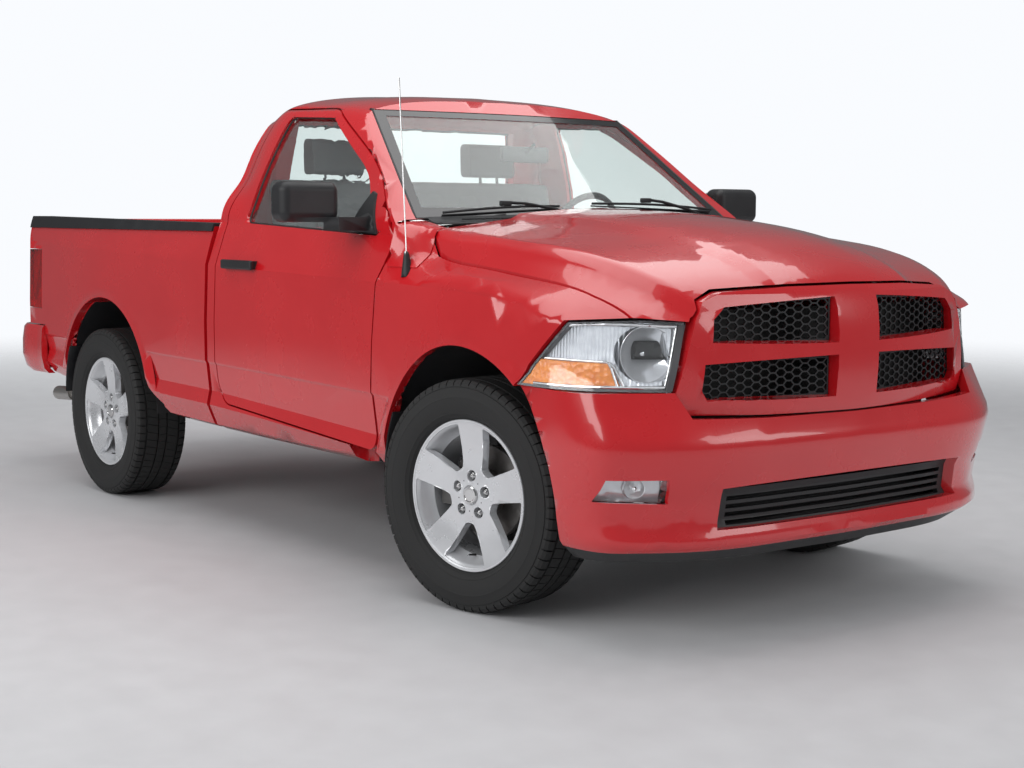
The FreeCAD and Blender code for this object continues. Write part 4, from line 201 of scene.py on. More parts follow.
class Relief(Enum):
    """The small relief that a finish has."""

    PEEL = "the soft ripple of sprayed lacquer"
    GRAIN = "pebbled moulding grain"
    CAST = "rough sand casting"
    BRUSHED = "fine turned or drawn lines"
    WEAVE = "crossed cloth threads"
    FLUTES = "upright optical flutes"
    FACETS = "small optical pillows"


@dataclass(frozen=True)
class Finish:
    """One opaque finish: two tones, a gloss range and a small relief.

    Attributes:
        name: the material's name.
        light: the paler tone.
        dark: the darker tone.
        rough: lowest and highest roughness.
        metal: how metallic it is.
        coat: weight of a clear coat.
        relief: the kind of relief.
        relief_scale: how fine the relief is, in features a metre.
        relief_depth: the relief's height in metres.
        patch_scale: how fine the drift between the tones is.
        dust: how much road dust gathers near the ground.
    """

    name: str
    light: Colour
    dark: Colour
    rough: tuple[float, float]
    metal: float = 0.0
    coat: float = 0.0
    relief: Relief = Relief.GRAIN
    relief_scale: float = 500.0
    relief_depth: float = 0.0001
    patch_scale: float = 6.0
    dust: float = 0.0

    FLUTE_TURN: ClassVar[float] = -0.38
    STRETCH: ClassVar[float] = 0.06

    def height(self, tree: Tree) -> bpy.types.NodeSocket:
        """Add the relief's nodes.

        Args:
            tree: the material's tree.

        Returns:
            The socket that carries the relief's height.
        """
        scale = {"Scale": self.relief_scale}
        if self.relief is Relief.GRAIN:
            return Effect.placed(tree, "grain", **scale)["Height"]
        place = {"Vector": tree.place()}
        if self.relief is Relief.WEAVE:
            threads = [tree.add("TexWave", place | scale | {"Distortion": 0.4}, bands_direction=way)
                       for way in ("Y", "DIAGONAL")]
            return tree.math("MAXIMUM", *(thread.outputs["Fac"] for thread in threads))
        if self.relief is Relief.FACETS:
            return tree.add("TexVoronoi", place | scale).outputs["Distance"]
        if self.relief is Relief.FLUTES:
            turned = tree.add("Mapping", place | {"Rotation": (0.0, 0.0, self.FLUTE_TURN)})
            return tree.add("TexWave", {"Vector": turned.outputs["Vector"]} | scale,
                            bands_direction="X").outputs["Fac"]
        stretch = (1.0, self.STRETCH, 1.0) if self.relief is Relief.BRUSHED else (1.0, 1.0, 1.0)
        mapped = tree.add("Mapping", place | {"Scale": stretch}).outputs["Vector"]
        detail = 1.0 if self.relief is Relief.PEEL else 6.0
        return tree.add("TexNoise", {"Vector": mapped, "Detail": detail} | scale).outputs["Fac"]

    def material(self) -> bpy.types.Material:
        """The finish as a material, made once and then shared."""
        found = bpy.data.materials.get(self.name)
        if found:
            return found
        material, tree = Tree.of_material(self.name)
        tones = Effect.placed(tree, "mottle", Light=(*self.light, 1.0), Dark=(*self.dark, 1.0),
                              Scale=self.patch_scale)
        colour = tones["Color"]
        if self.dust:
            colour = Effect.placed(tree, "road_dust", Color=colour, Amount=self.dust)["Color"]
        bump = tree.add("Bump", {"Height": self.height(tree), "Distance": self.relief_depth, "Strength": 1.0})
        shader = tree.add("BsdfPrincipled", {
            "Metallic": self.metal, "Coat Weight": self.coat, "Coat Roughness": 0.03, "Base Color": colour,
            "Roughness": tree.ranged(tones["Mask"], end=self.rough), "Normal": bump.outputs["Normal"]})
        tree.add("OutputMaterial", {"Surface": shader.outputs["BSDF"]})
        return material


@dataclass(frozen=True)
class Glass:
    """A clear or tinted see-through finish.

    Attributes:
        name: the material's name.
        light: the paler tint.
        dark: the darker tint.
        rough: roughness of its surface.
    """

    name: str
    light: Colour
    dark: Colour
    rough: float = 0.0

    def material(self) -> bpy.types.Material:
        """The glass as a material that lets lamp light through to what lies behind."""
        found = bpy.data.materials.get(self.name)
        if found:
            return found
        material, tree = Tree.of_material(self.name)
        tint = Effect.placed(tree, "mottle", Light=(*self.light, 1.0), Dark=(*self.dark, 1.0),
                             Scale=3.0)["Color"]
        shader = tree.add("BsdfPrincipled", {"Transmission Weight": 1.0, "IOR": 1.45,
                                             "Roughness": self.rough, "Base Color": tint})
        clear = tree.add("BsdfTransparent", {"Color": tint})
        mix = tree.add("MixShader", {0: tree.add("LightPath").outputs["Is Shadow Ray"],
                                     1: shader.outputs["BSDF"], 2: clear.outputs["BSDF"]})
        tree.add("OutputMaterial", {"Surface": mix.outputs["Shader"]})
        return material


class Palette:
    """Every finish of the truck, by what it is on."""

    PAINT = Finish("red_lacquer", (0.585, 0.008, 0.013), (0.545, 0.006, 0.011), (0.22, 0.30), coat=1.0,
                   relief=Relief.PEEL, relief_scale=260.0, relief_depth=0.00002, patch_scale=2.5,
                   dust=0.05)
    INNER = Finish("cab_carpet", (0.030, 0.030, 0.032), (0.018, 0.018, 0.020), (0.80, 0.95),
                   relief=Relief.CAST, relief_scale=700.0, relief_depth=0.0006, patch_scale=40.0)
    PLASTIC = Finish("black_moulding", (0.022, 0.023, 0.025), (0.014, 0.014, 0.016), (0.42, 0.58),
                     relief_scale=650.0, relief_depth=0.00012, dust=0.15)
    RUBBER = Finish("tyre_rubber", (0.030, 0.029, 0.028), (0.018, 0.018, 0.018), (0.62, 0.80),
                    relief_scale=420.0, relief_depth=0.00015, patch_scale=9.0)
    ALLOY = Finish("silver_alloy", (0.74, 0.75, 0.77), (0.68, 0.69, 0.71), (0.24, 0.34), metal=0.45, coat=0.6,
                   relief=Relief.PEEL, relief_scale=500.0, relief_depth=0.00002)
    BARE = Finish("turned_iron", (0.30, 0.29, 0.28), (0.20, 0.18, 0.17), (0.35, 0.55), metal=0.9,
                  relief=Relief.BRUSHED, relief_scale=900.0, relief_depth=0.00008, patch_scale=14.0)
    CHASSIS = Finish("black_steel", (0.035, 0.034, 0.034), (0.020, 0.018, 0.017), (0.50, 0.75), metal=0.2,
                     relief=Relief.CAST, relief_scale=160.0, relief_depth=0.0003, dust=0.5)
    CAST = Finish("cast_iron", (0.20, 0.20, 0.20), (0.11, 0.105, 0.10), (0.50, 0.70), metal=0.7,
                  relief=Relief.CAST, relief_scale=240.0, relief_depth=0.0005, dust=0.3)
    EXHAUST = Finish("exhaust_steel", (0.34, 0.32, 0.30), (0.22, 0.19, 0.17), (0.35, 0.55), metal=0.9,
                     relief=Relief.BRUSHED, relief_scale=300.0, relief_depth=0.0001, patch_scale=9.0)
    CHROME = Finish("polished_steel", (0.72, 0.72, 0.72), (0.62, 0.62, 0.62), (0.05, 0.10), metal=1.0,
                    relief=Relief.PEEL, relief_scale=300.0, relief_depth=0.00001)
    REFLECTOR = Finish("lamp_reflector", (0.86, 0.87, 0.89), (0.78, 0.79, 0.81), (0.10, 0.18), metal=0.55,
                       relief=Relief.PEEL, relief_scale=120.0, relief_depth=0.0003)
    FLUTED = Finish("fluted_reflector", (0.80, 0.82, 0.85), (0.64, 0.66, 0.69), (0.14, 0.24), metal=0.6,
                    relief=Relief.FLUTES, relief_scale=26.0, relief_depth=0.0016, patch_scale=30.0)
    AMBER = Finish("amber_indicator", (0.80, 0.26, 0.012), (0.62, 0.15, 0.006), (0.12, 0.24), coat=0.8,
                   relief=Relief.FACETS, relief_scale=52.0, relief_depth=0.004, patch_scale=34.0)
    SEAL = Finish("grey_rubber", (0.105, 0.105, 0.110), (0.080, 0.080, 0.085), (0.45, 0.60),
                  relief_scale=650.0, relief_depth=0.00008)
    PRINT = Finish("printed_edge", (0.012, 0.012, 0.013), (0.008, 0.008, 0.009), (0.14, 0.22), coat=0.5,
                   relief=Relief.PEEL, relief_scale=300.0, relief_depth=0.00001)
    CLOTH = Finish("seat_cloth", (0.090, 0.088, 0.088), (0.060, 0.059, 0.060), (0.80, 0.92),
                   relief=Relief.WEAVE, relief_scale=420.0, relief_depth=0.0004, patch_scale=60.0)
    WINDOW = Glass("window_glass", (0.90, 0.95, 0.93), (0.88, 0.94, 0.92))
    LENS = Glass("clear_lens", (0.97, 0.98, 0.99), (0.95, 0.96, 0.97))
    RED_LENS = Glass("red_lens", (0.72, 0.010, 0.012), (0.60, 0.008, 0.010), 0.06)

    BY_SLOT = {
        "body_paint": PAINT, "cab_inner": INNER, "bare_steel": BARE, "clear_glass": WINDOW,
        "black_plastic": PLASTIC, "lamp_glass": LENS, "lamp_housing": REFLECTOR, "black_steel": CHASSIS,
        "red_plastic": RED_LENS, "cast_metal": CAST, "exhaust_steel": EXHAUST, "seat_cloth": CLOTH,
        "bright_steel": CHROME, "tyre_rubber": RUBBER, "wheel_alloy": ALLOY,
    }


# ---------------------------------------------------------------- modelling moves

class Bench:
    """Modelling moves that the assemblies share, made with the same operators as by hand."""

    SMOOTH_ANGLE = math.radians(32)
    FLAT_ANGLE = math.radians(0.4)
    BEVEL_ANGLE = math.radians(28)
    WELD = 0.00002
    CLOSE = 0.00001

    @staticmethod
    def clear() -> None:
        """Leave edit mode and deselect everything."""
        if bpy.context.object and bpy.context.object.mode != "OBJECT":
            Bench.mode()
        bpy.ops.object.select_all(action="DESELECT")

    @staticmethod
    def mode(mode: str = "OBJECT") -> None:
        """Go to a mode of work."""
        bpy.ops.object.mode_set(mode=mode)

    @classmethod
    def pick(cls, piece: Piece) -> None:
        """Make the piece the only one that is selected, and active."""
        cls.clear()
        piece.select_set(True)
        bpy.context.view_layer.objects.active = piece

    @classmethod
    def smooth(cls, piece: Piece, angle: float = SMOOTH_ANGLE) -> Piece:
        """Shade the piece smooth, with its edges over an angle kept sharp."""
        cls.pick(piece)
        bpy.ops.object.shade_smooth_by_angle(angle=angle)
        return piece

    @classmethod
    def modified(cls, piece: Piece, kind: str, **settings: object) -> Piece:
        """Add one modifier to a piece and apply it.

        Args:
            piece: the piece.
            kind: the modifier's type.
            settings: the modifier's own properties.

        Returns:
            The piece.
        """
        cls.pick(piece)
        bpy.ops.object.modifier_add(type=kind)
        modifier = piece.modifiers[-1]
        for name, value in settings.items():
            setattr(modifier, name, value)
        bpy.ops.object.modifier_apply(modifier=modifier.name)
        return piece

    @classmethod
    def cut(cls, piece: Piece, cutter: Piece, solver: str = "EXACT") -> Piece:
        """Cut one piece from another and remove the cutter."""
        cls.modified(piece, "BOOLEAN", operation="DIFFERENCE", solver=solver, object=cutter)
        bpy.data.objects.remove(cutter)
        return cls.smooth(piece)

    @classmethod
    def thickened(cls, piece: Piece, thickness: float) -> Piece:
        """Give an open sheet a thickness."""
        return cls.smooth(cls.modified(piece, "SOLIDIFY", thickness=thickness))

    @classmethod
    def edited(cls, piece: Piece, *moves: Callable[[], object]) -> Piece:
        """Select all of a piece in edit mode, make the moves, and go back to object mode."""
        cls.pick(piece)
        cls.mode("EDIT")
        bpy.ops.mesh.select_all(action="SELECT")
        for move in moves:
            move()
        cls.mode()
        return piece

    @classmethod
    def coat(cls, piece: Piece, finish: Finish | Glass, slot: str) -> None:
        """Give the piece one finish."""
        piece.data.materials.clear()
        piece.data.materials.append(finish.material())

    @classmethod
    def welded(cls, node: Piece, name: str) -> Piece:
        """Copy a CAD node, merge its loose triangles and shade it smooth.

        Args:
            node: the CAD node's object.
            name: the new piece's name.

        Returns:
            The copy, with nothing riding or replaced yet.
        """
        cls.clear()
        piece = bpy.data.objects.new(name, node.data.copy())
        bpy.context.scene.collection.objects.link(piece)
        cls.edited(piece, lambda: bpy.ops.mesh.remove_doubles(threshold=cls.WELD),
                   lambda: bpy.ops.mesh.dissolve_limited(angle_limit=cls.FLAT_ANGLE, delimit=set()))
        cls.smooth(piece)
        return cls.modified(piece, "WEIGHTED_NORMAL", keep_sharp=True)

    @classmethod
    def placed(cls, name: str) -> Piece:
        """Name the new primitive and put its place into its mesh."""
        cls.mode()
        piece = bpy.context.object
        piece.name = name
        bpy.ops.object.transform_apply(location=True, rotation=True, scale=True)
        return piece

    @classmethod
    def soften(cls, piece: Piece, width: float, segments: int = 2) -> Piece:
        """Round a piece's edges, by that width and with that many faces."""
        return cls.smooth(cls.modified(piece, "BEVEL", width=width, segments=segments,
                                       limit_method="ANGLE", angle_limit=cls.BEVEL_ANGLE))

    @classmethod
    def box(cls, name: str, low: Point, high: Point, rounding: float = 0.0) -> Piece:
        """A block between two corners, with rounded edges."""
        cls.clear()
        middle = [(a + b) / 2 for a, b in zip(low, high)]
        bpy.ops.mesh.primitive_cube_add(size=1.0, location=middle,
                                        scale=[abs(b - a) for a, b in zip(low, high)])
        piece = cls.placed(name)
        return cls.soften(piece, rounding) if rounding else piece

    @classmethod
    def rod(cls, name: str, start: Point, end: Point, radius: float, sides: int = 24,
            rounding: float = 0.0, tip: float | None = None) -> Piece:
        """A round bar from one point to another, or a cone where it has a tip radius."""
        cls.clear()
        begin, run = Vector(start), Vector(end) - Vector(start)
        bpy.ops.mesh.primitive_cone_add(vertices=sides, radius1=radius, radius2=radius if tip is None else tip,
                                        depth=run.length, location=begin + run / 2,
                                        rotation=run.to_track_quat("Z", "Y").to_euler())
        piece = cls.placed(name)
        return cls.soften(piece, rounding) if rounding else cls.smooth(piece)

    @classmethod
    def line(cls, name: str, points: list[Point]) -> Piece:
        """Draw edges through points, by extruding one point again and again.

        Args:
            name: the piece's name.
            points: the places that the line goes through.

        Returns:
            The piece, left in edit mode with all of it selected.
        """
        cls.clear()
        bpy.ops.mesh.primitive_plane_add(size=0.01, location=points[0])
        piece = cls.placed(name)
        cls.mode("EDIT")
        bpy.ops.mesh.select_mode(type="VERT")
        bpy.ops.mesh.select_all(action="SELECT")
        bpy.ops.mesh.merge(type="CENTER")
        for a, b in zip(points, points[1:]):
            bpy.ops.mesh.extrude_region_move(TRANSFORM_OT_translate={"value": Vector(b) - Vector(a)})
        bpy.ops.mesh.select_all(action="SELECT")
        return piece

    @classmethod
    def prism(cls, name: str, outline: list[Point], run: Point, rounding: float = 0.0) -> Piece:
        """A solid with one flat outline, extruded along a run."""
        piece = cls.line(name, outline)
        bpy.ops.mesh.edge_face_add()
        bpy.ops.mesh.extrude_region_move(TRANSFORM_OT_translate={"value": Vector(run)})
        bpy.ops.mesh.select_all(action="SELECT")
        bpy.ops.mesh.normals_make_consistent(inside=False)
        cls.mode()
        return cls.soften(piece, rounding) if rounding else piece

    @classmethod
    def turned(cls, name: str, profile: Outline, steps: int, closed: bool = True) -> Piece:
        """A turned piece about the Y axis through the origin.

        Args:
            name: the piece's name.
            profile: (radius, place along the axis) points.
            steps: how many steps a full turn has.
            closed: whether the profile's ends are joined.

        Returns:
            The piece.
        """
        points = [(0.0, along, radius) for radius, along in profile]
        piece = cls.line(name, points + points[:1] if closed else points)
        bpy.ops.mesh.remove_doubles(threshold=cls.CLOSE)
        bpy.ops.mesh.spin(steps=steps, angle=2 * math.pi, center=(0, 0, 0), axis=(0, 1, 0))
        bpy.ops.mesh.select_all(action="SELECT")
        bpy.ops.mesh.remove_doubles(threshold=cls.CLOSE)
        bpy.ops.mesh.normals_make_consistent(inside=False)
        cls.mode()
        return cls.smooth(piece)

    @classmethod
    def piped(cls, wire: Piece, radius: float, sides: int, angle: float) -> Piece:
        """Turn a piece's edges into round pipes.

        Args:
            wire: the piece.
            radius: the pipes' radius.
            sides: how finely they are rounded.
            angle: edges over this angle stay sharp.

        Returns:
            The piece.
        """
        cls.pick(wire)
        bpy.ops.object.convert(target="CURVE")
        curve = bpy.context.object.data
        curve.dimensions, curve.use_fill_caps = "3D", True
        curve.bevel_depth, curve.bevel_resolution = radius, sides
        bpy.ops.object.convert(target="MESH")
        return cls.smooth(bpy.context.object, angle)

    @classmethod
    def tube(cls, name: str, points: list[Point], radius: float) -> Piece:
        """A round wire or pipe along points."""
        wire = cls.line(name, points)
        cls.mode()
        return cls.piped(wire, radius, 3, cls.SMOOTH_ANGLE)

    @classmethod
    def keep_faces(cls, piece: Piece, wanted: Callable[[bpy.types.MeshPolygon], bool]) -> None:
        """Delete every face but the wanted ones.

        Args:
            piece: the piece.
            wanted: tells of a face whether it stays.
        """
        cls.pick(piece)
        cls.mode("EDIT")
        bpy.ops.mesh.select_mode(type="FACE")
        bpy.ops.mesh.select_all(action="DESELECT")
        cls.mode()
        for polygon in piece.data.polygons:
            polygon.select = not wanted(polygon)
        cls.mode("EDIT")
        bpy.ops.mesh.delete(type="FACE")
        bpy.ops.mesh.select_mode(type="VERT")
        bpy.ops.mesh.select_all(action="SELECT")
        cls.mode()

    @classmethod
    def repeated(cls, piece: Piece, count: int) -> None:
        """Repeat a piece evenly round the Y axis through the origin."""
        turn = 2 * math.pi * (count - 1) / count
        cls.edited(piece, lambda: bpy.ops.mesh.spin(steps=count - 1, dupli=True, angle=turn,
                                                    center=(0, 0, 0), axis=(0, 1, 0)))

    @classmethod
    def joined(cls, pieces: list[Piece], name: str) -> Piece:
        """Join pieces into one object."""
        cls.clear()
        for piece in pieces:
            piece.select_set(True)
        bpy.context.view_layer.objects.active = pieces[0]
        bpy.ops.object.join()
        pieces[0].name = name
        return pieces[0]

    @classmethod
    def copied(cls, piece: Piece, name: str, place: Matrix = Matrix.Identity(4)) -> Piece:
        """Copy a piece, moved by a matrix, with its own mesh and its faces outwards."""
        cls.pick(piece)
        bpy.ops.object.duplicate()
        twin = bpy.context.object
        twin.name = name
        if "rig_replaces" in twin:
            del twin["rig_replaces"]
        twin.data.transform(place)
        if place.determinant() < 0:
            cls.edited(twin, bpy.ops.mesh.flip_normals)
        return twin

    @classmethod
    def band(cls, name: str, outer: list[Point], inner: list[Point], cuts: int) -> Piece:
        """A flat band between two outlines of as many corners, cut finely enough to be laid on a curve.

        Args:
            name: the piece's name.
            outer: the outer outline.
            inner: the inner outline, corner for corner.
            cuts: how many cuts each side gets.

        Returns:
            The band.
        """
        rings = []
        for points in (outer, inner):
            ring = cls.line(name, points + points[:1])
            bpy.ops.mesh.remove_doubles(threshold=cls.CLOSE)
            bpy.ops.mesh.subdivide(number_cuts=cuts)
            cls.mode()
            rings.append(ring)
        return cls.edited(cls.joined(rings, name), bpy.ops.mesh.bridge_edge_loops)

    @classmethod
    def patch(cls, name: str, outline: list[Point], cuts: int) -> Piece:
        """A flat sheet of four corners, cut into a fine grid."""
        piece = cls.line(name, outline)
        bpy.ops.mesh.edge_face_add()
        bpy.ops.mesh.subdivide(number_cuts=cuts)
        cls.mode()
        return piece

    @classmethod
    def fit(cls, piece: Piece, finish: Finish | Glass, slot: str = "black_plastic",
            body: str = "chassis") -> Piece:
        """Give a finished piece its material, and let it ride on its body."""
        if not piece.data.polygons:
            raise ValueError(f"{piece.name} has no faces")
        cls.coat(piece, finish, slot)
        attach(piece, body)
        LOG.info("%s fitted to %s", piece.name, body)
        return piece

    @classmethod
    def pair(cls, left: Piece, name: str, finish: Finish | Glass, slot: str = "black_plastic",
             bodies: tuple[str, str] = ("chassis", "chassis")) -> list[Piece]:
        """Mirror a left piece to the right and fit both.

        Args:
            left: the left piece.
            name: both pieces' name, before their side.
            finish: their finish.
            slot: the record's slot; not used.
            bodies: the bodies that the left and the right one ride on.

        Returns:
            The left and the right piece.
        """
        left.name = name + "_left"
        right = cls.copied(left, name + "_right", MIRROR)
        return [cls.fit(piece, finish, slot, body) for piece, body in zip((left, right), bodies)]


# ---------------------------------------------------------------- carried-over nodes

@dataclass
class CarriedNodes:
    """The CAD nodes, each shown by a welded smooth copy with its finish.

    Attributes:
        finishes: finishes that differ from the slot's own, by node name.
        skipped: beginnings of the names of nodes that other pieces replace.
    """

    frame: dict
    finishes: dict[str, Finish | Glass] = field(default_factory=dict)
    skipped: tuple[str, ...] = ()

    def dress(self) -> None:
        """Replace each node by its welded copy, with the finish of its slot."""
        slots = {entry["node"]: entry["material_slot"] for entry in self.frame["record"]["subparts"]}
        for name, node in self.frame["nodes"].items():
            if name.startswith(self.skipped):
                continue
            piece = Bench.welded(node, name + "_skin")
            slot = slots[name]
            Bench.coat(piece, self.finishes.get(name, Palette.BY_SLOT[slot]), slot)
            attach(piece, node["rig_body"])
            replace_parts(piece, name)
            LOG.info("%s dressed as %s", name, slot)


# ---------------------------------------------------------------- wheels and tyres

@dataclass
class Tyre:
    """A road tyre with ringed sidewalls and a five-rib tread, about the Y axis.

    Attributes:
        radius: radius over the tread.
        width: width over the sidewalls.
        bead: radius at the rim.
        pitches: how many tread blocks a rib has.
        groove: depth of the tread.
    """

    radius: float = 0.4155
    width: float = 0.275
    bead: float = 0.2725
    pitches: int = 68
    groove: float = 0.009

    def side(self) -> Outline:
        """The outer sidewall's profile as (radius, along), from the tread's middle to the bead."""
        base = self.radius - self.groove
        half = self.width / 2
        return [
            (base, 0.0), (base, half - 0.026), (base - 0.006, half - 0.0155), (base - 0.016, half - 0.0085),
            (base - 0.0175, half - 0.0095), (base - 0.0195, half - 0.0095), (base - 0.021, half - 0.0065),
            (base - 0.036, half - 0.0028), (base - 0.052, half - 0.0008), (base - 0.0535, half + 0.0),
            (base - 0.0555, half + 0.0), (base - 0.057, half - 0.0008), (base - 0.074, half - 0.0016),
            (base - 0.092, half - 0.0052), (base - 0.108, half - 0.0105), (base - 0.1095, half - 0.0098),
            (base - 0.1125, half - 0.0108), (base - 0.114, half - 0.0128), (base - 0.124, half - 0.020),
            (self.bead + 0.006, half - 0.0275), (self.bead, half - 0.0335),
            (self.bead - 0.0145, half - 0.0345),
        ]

    def blocks(self) -> Piece:
        """One pitch of the tread: two shoulder blocks, two ribs and the middle rib."""
        top = self.radius
        base = top - self.groove - 0.002
        half = self.width / 2
        long = 2 * math.pi * top / self.pitches
        shoulder = [(half - 0.048, base), (half - 0.048, top), (half - 0.030, top - 0.0003),
                    (half - 0.0195, top - 0.0035), (half - 0.0105, top - 0.0145), (half - 0.0085, top - 0.026),
                    (half - 0.016, base - 0.012)]
        rib = [(0.026, base), (0.026, top), (0.079, top), (0.079, base)]
        middle = [(-0.018, base), (-0.018, top + 0.0002), (0.018, top + 0.0002), (0.018, base)]
        made = []
        for number, (outline, share, lean) in enumerate((
                (shoulder, 0.84, 0.10), (rib, 0.93, 0.22), (middle, 0.95, -0.16),
                ([(-a, r) for a, r in rib], 0.93, 0.22), ([(-a, r) for a, r in shoulder], 0.84, -0.10))):
            block = Bench.prism(f"block_{number}", [(-long * share / 2, a, r) for a, r in outline],
                                (long * share, 0.0, 0.0))
            for vertex in block.data.vertices:
                vertex.co.x += vertex.co.y * lean
            made.append(block)
        return Bench.joined(made, "tread_pitch")

    def build(self) -> Piece:
        """Make the tyre at the origin."""
        side = self.side()
        profile = side + [(r, -a) for r, a in side[:0:-1]]
        carcass = Bench.turned("carcass", profile, 96)
        tread = self.blocks()
        Bench.repeated(tread, self.pitches)
        return Bench.smooth(Bench.joined([carcass, tread], "tyre_master"), math.radians(24))


@dataclass
class AlloyWheel:
    """A five-spoke alloy wheel with its nuts, cap and valve, about the Y axis, its face outwards.

    Attributes:
        lip: radius over the rim's lip.
        seat: radius of the tyre's seat.
        half: half the width over the lips.
        face: how far out the hub's face stands.
        bolt_circle: radius of the nuts' circle.
        nut: radius of a nut.
        cap: radius of the middle cap.
        spokes: how many spokes it has.
    """

    lip: float = 0.2718
    seat: float = 0.2535
    half: float = 0.1095
    face: float = 0.088
    bolt_circle: float = 0.0699
    nut: float = 0.0115
    cap: float = 0.033
    spokes: int = 5

    def barrel(self) -> Piece:
        """The rim with its two lips and the drop in its middle."""
        lip, seat, half = self.lip, self.seat, self.half
        return Bench.turned("barrel", [
            (lip - 0.0075, half - 0.0005), (lip - 0.002, half), (lip, half - 0.002), (lip, half - 0.007),
            (seat + 0.001, half - 0.010), (seat - 0.002, half - 0.042), (seat - 0.024, half - 0.060),
            (seat - 0.024, 0.040 - half), (seat - 0.002, 0.022 - half), (seat + 0.001, 0.010 - half),
            (lip, 0.008 - half), (lip, -half), (lip - 0.009, -half), (seat - 0.008, 0.006 - half),
            (seat - 0.014, 0.030 - half), (seat - 0.031, 0.046 - half), (seat - 0.031, half - 0.064),
            (seat - 0.012, half - 0.043), (seat - 0.0075, half - 0.022), (seat - 0.0005, half - 0.010),
        ], 96)

    def disc(self) -> Piece:
        """The dished face, from the hub to the lip, before its windows are cut."""
        face = self.face
        return Bench.turned("disc", [
            (0.0, face - 0.004), (self.cap + 0.001, face - 0.004), (self.cap + 0.004, face),
            (0.060, face + 0.001), (0.092, face - 0.003), (0.125, face - 0.004), (0.165, face - 0.001),
            (0.205, face + 0.006), (0.238, face + 0.0135), (0.254, face + 0.0165), (0.2625, face + 0.0195),
            (0.2635, face + 0.014), (0.2515, face + 0.0095), (0.2445, face - 0.004), (0.236, face - 0.016),
            (0.205, face - 0.024), (0.150, face - 0.031), (0.092, face - 0.036), (0.0, face - 0.042),
        ], 120, False)

    def window(self) -> Piece:
        """The drafted cutter of one window, with rounded corners."""
        reach = 0.2590
        arc = [(reach * math.sin(math.radians(a)), -reach * math.cos(math.radians(a)))
               for a in (23, 15, 7.5, 0, -7.5, -15, -23)]
        outline = [(-0.020, -0.0985), (0.0, -0.0965), (0.020, -0.0985), (0.034, -0.120), *arc, (-0.034, -0.120)]
        cutter = Bench.prism("window", [(x, self.face + 0.03, z) for x, z in outline], (0.0, -0.09, 0.0))
        middle = -0.175
        for vertex in cutter.data.vertices:
            if vertex.co.y < self.face:
                vertex.co.x *= 0.84
                vertex.co.z = middle + (vertex.co.z - middle) * 0.86
        Bench.edited(cutter, lambda: bpy.ops.mesh.normals_make_consistent(inside=False))
        Bench.soften(cutter, 0.007, 3)
        Bench.repeated(cutter, self.spokes)
        return cutter

    def seats(self) -> Piece:
        """The cutters of the nuts' seats, between the windows."""
        seat = Bench.rod("seat", (0, self.face - 0.020, self.bolt_circle),
                         (0, self.face + 0.02, self.bolt_circle), 0.0185, 28, 0.0, 0.0225)
        Bench.repeated(seat, self.spokes)
        return seat

    def face_piece(self) -> Piece:
        """The face with its five windows and its nuts' seats cut and its edges softened."""
        disc = self.disc()
        for cutter in (self.window(), self.seats()):
            Bench.modified(disc, "BOOLEAN", operation="DIFFERENCE", object=cutter)
            bpy.data.objects.remove(cutter)
        Bench.soften(disc, 0.0026, 2)
        return Bench.modified(disc, "WEIGHTED_NORMAL", keep_sharp=True)

    def nuts(self) -> Piece:
        """Five domed nuts in their seats."""
        base = self.face - 0.021
        body = Bench.rod("nut", (0, base, self.bolt_circle), (0, base + 0.015, self.bolt_circle), self.nut, 6,
                         0.0012)
        dome = Bench.rod("dome", (0, base + 0.0145, self.bolt_circle), (0, base + 0.021, self.bolt_circle),
                         self.nut * 0.84, 20, 0.002, self.nut * 0.5)
        nut = Bench.joined([body, dome], "wheel_nuts")
        Bench.repeated(nut, self.spokes)
        return Bench.smooth(nut)

    def linings(self) -> Piece:
        """Painted shade: black discs at the bottom of the nuts' seats, and black dots that stand for the small
        holes between them, where these recesses fall into shade.
        """
        base = self.face - 0.0203
        # Painted shade: a black disc at the bottom of each nut's seat, standing for the shade in the recess.
        painted_seat_shade = Bench.turned("linings", [(0.0, 0.0), (0.0186, 0.0), (0.0186, 0.0010), (0.0, 0.0010)], 28,
                              False)
        painted_seat_shade.data.transform(Matrix.Translation((0, base, self.bolt_circle)))
        # Painted shade: a black dot that stands for the dark of a small hole.
        dot = Bench.rod("dot", (0, self.face - 0.004, -0.0575), (0, self.face + 0.0014, -0.0575), 0.0022, 12)
        both = Bench.joined([painted_seat_shade, dot], "linings")
        Bench.repeated(both, self.spokes)
        return both

    def middle(self) -> Piece:
        """The plain cap with its raised ring."""
        out = self.face
        return Bench.turned("cap", [
            (0.0, out + 0.0065), (self.cap * 0.66, out + 0.0055), (self.cap * 0.74, out + 0.0075),
            (self.cap * 0.88, out + 0.0072), (self.cap * 0.985, out + 0.003), (self.cap * 0.985, out - 0.012),
            (0.0, out - 0.012)], 48, False)

    def valve(self) -> Piece:
        """The rubber valve on the rim between two spokes."""
        return Bench.rod("valve", (0.0, 0.046, -0.2225), (0.0, 0.082, -0.2175), 0.0042, 12, 0.001, 0.0032)


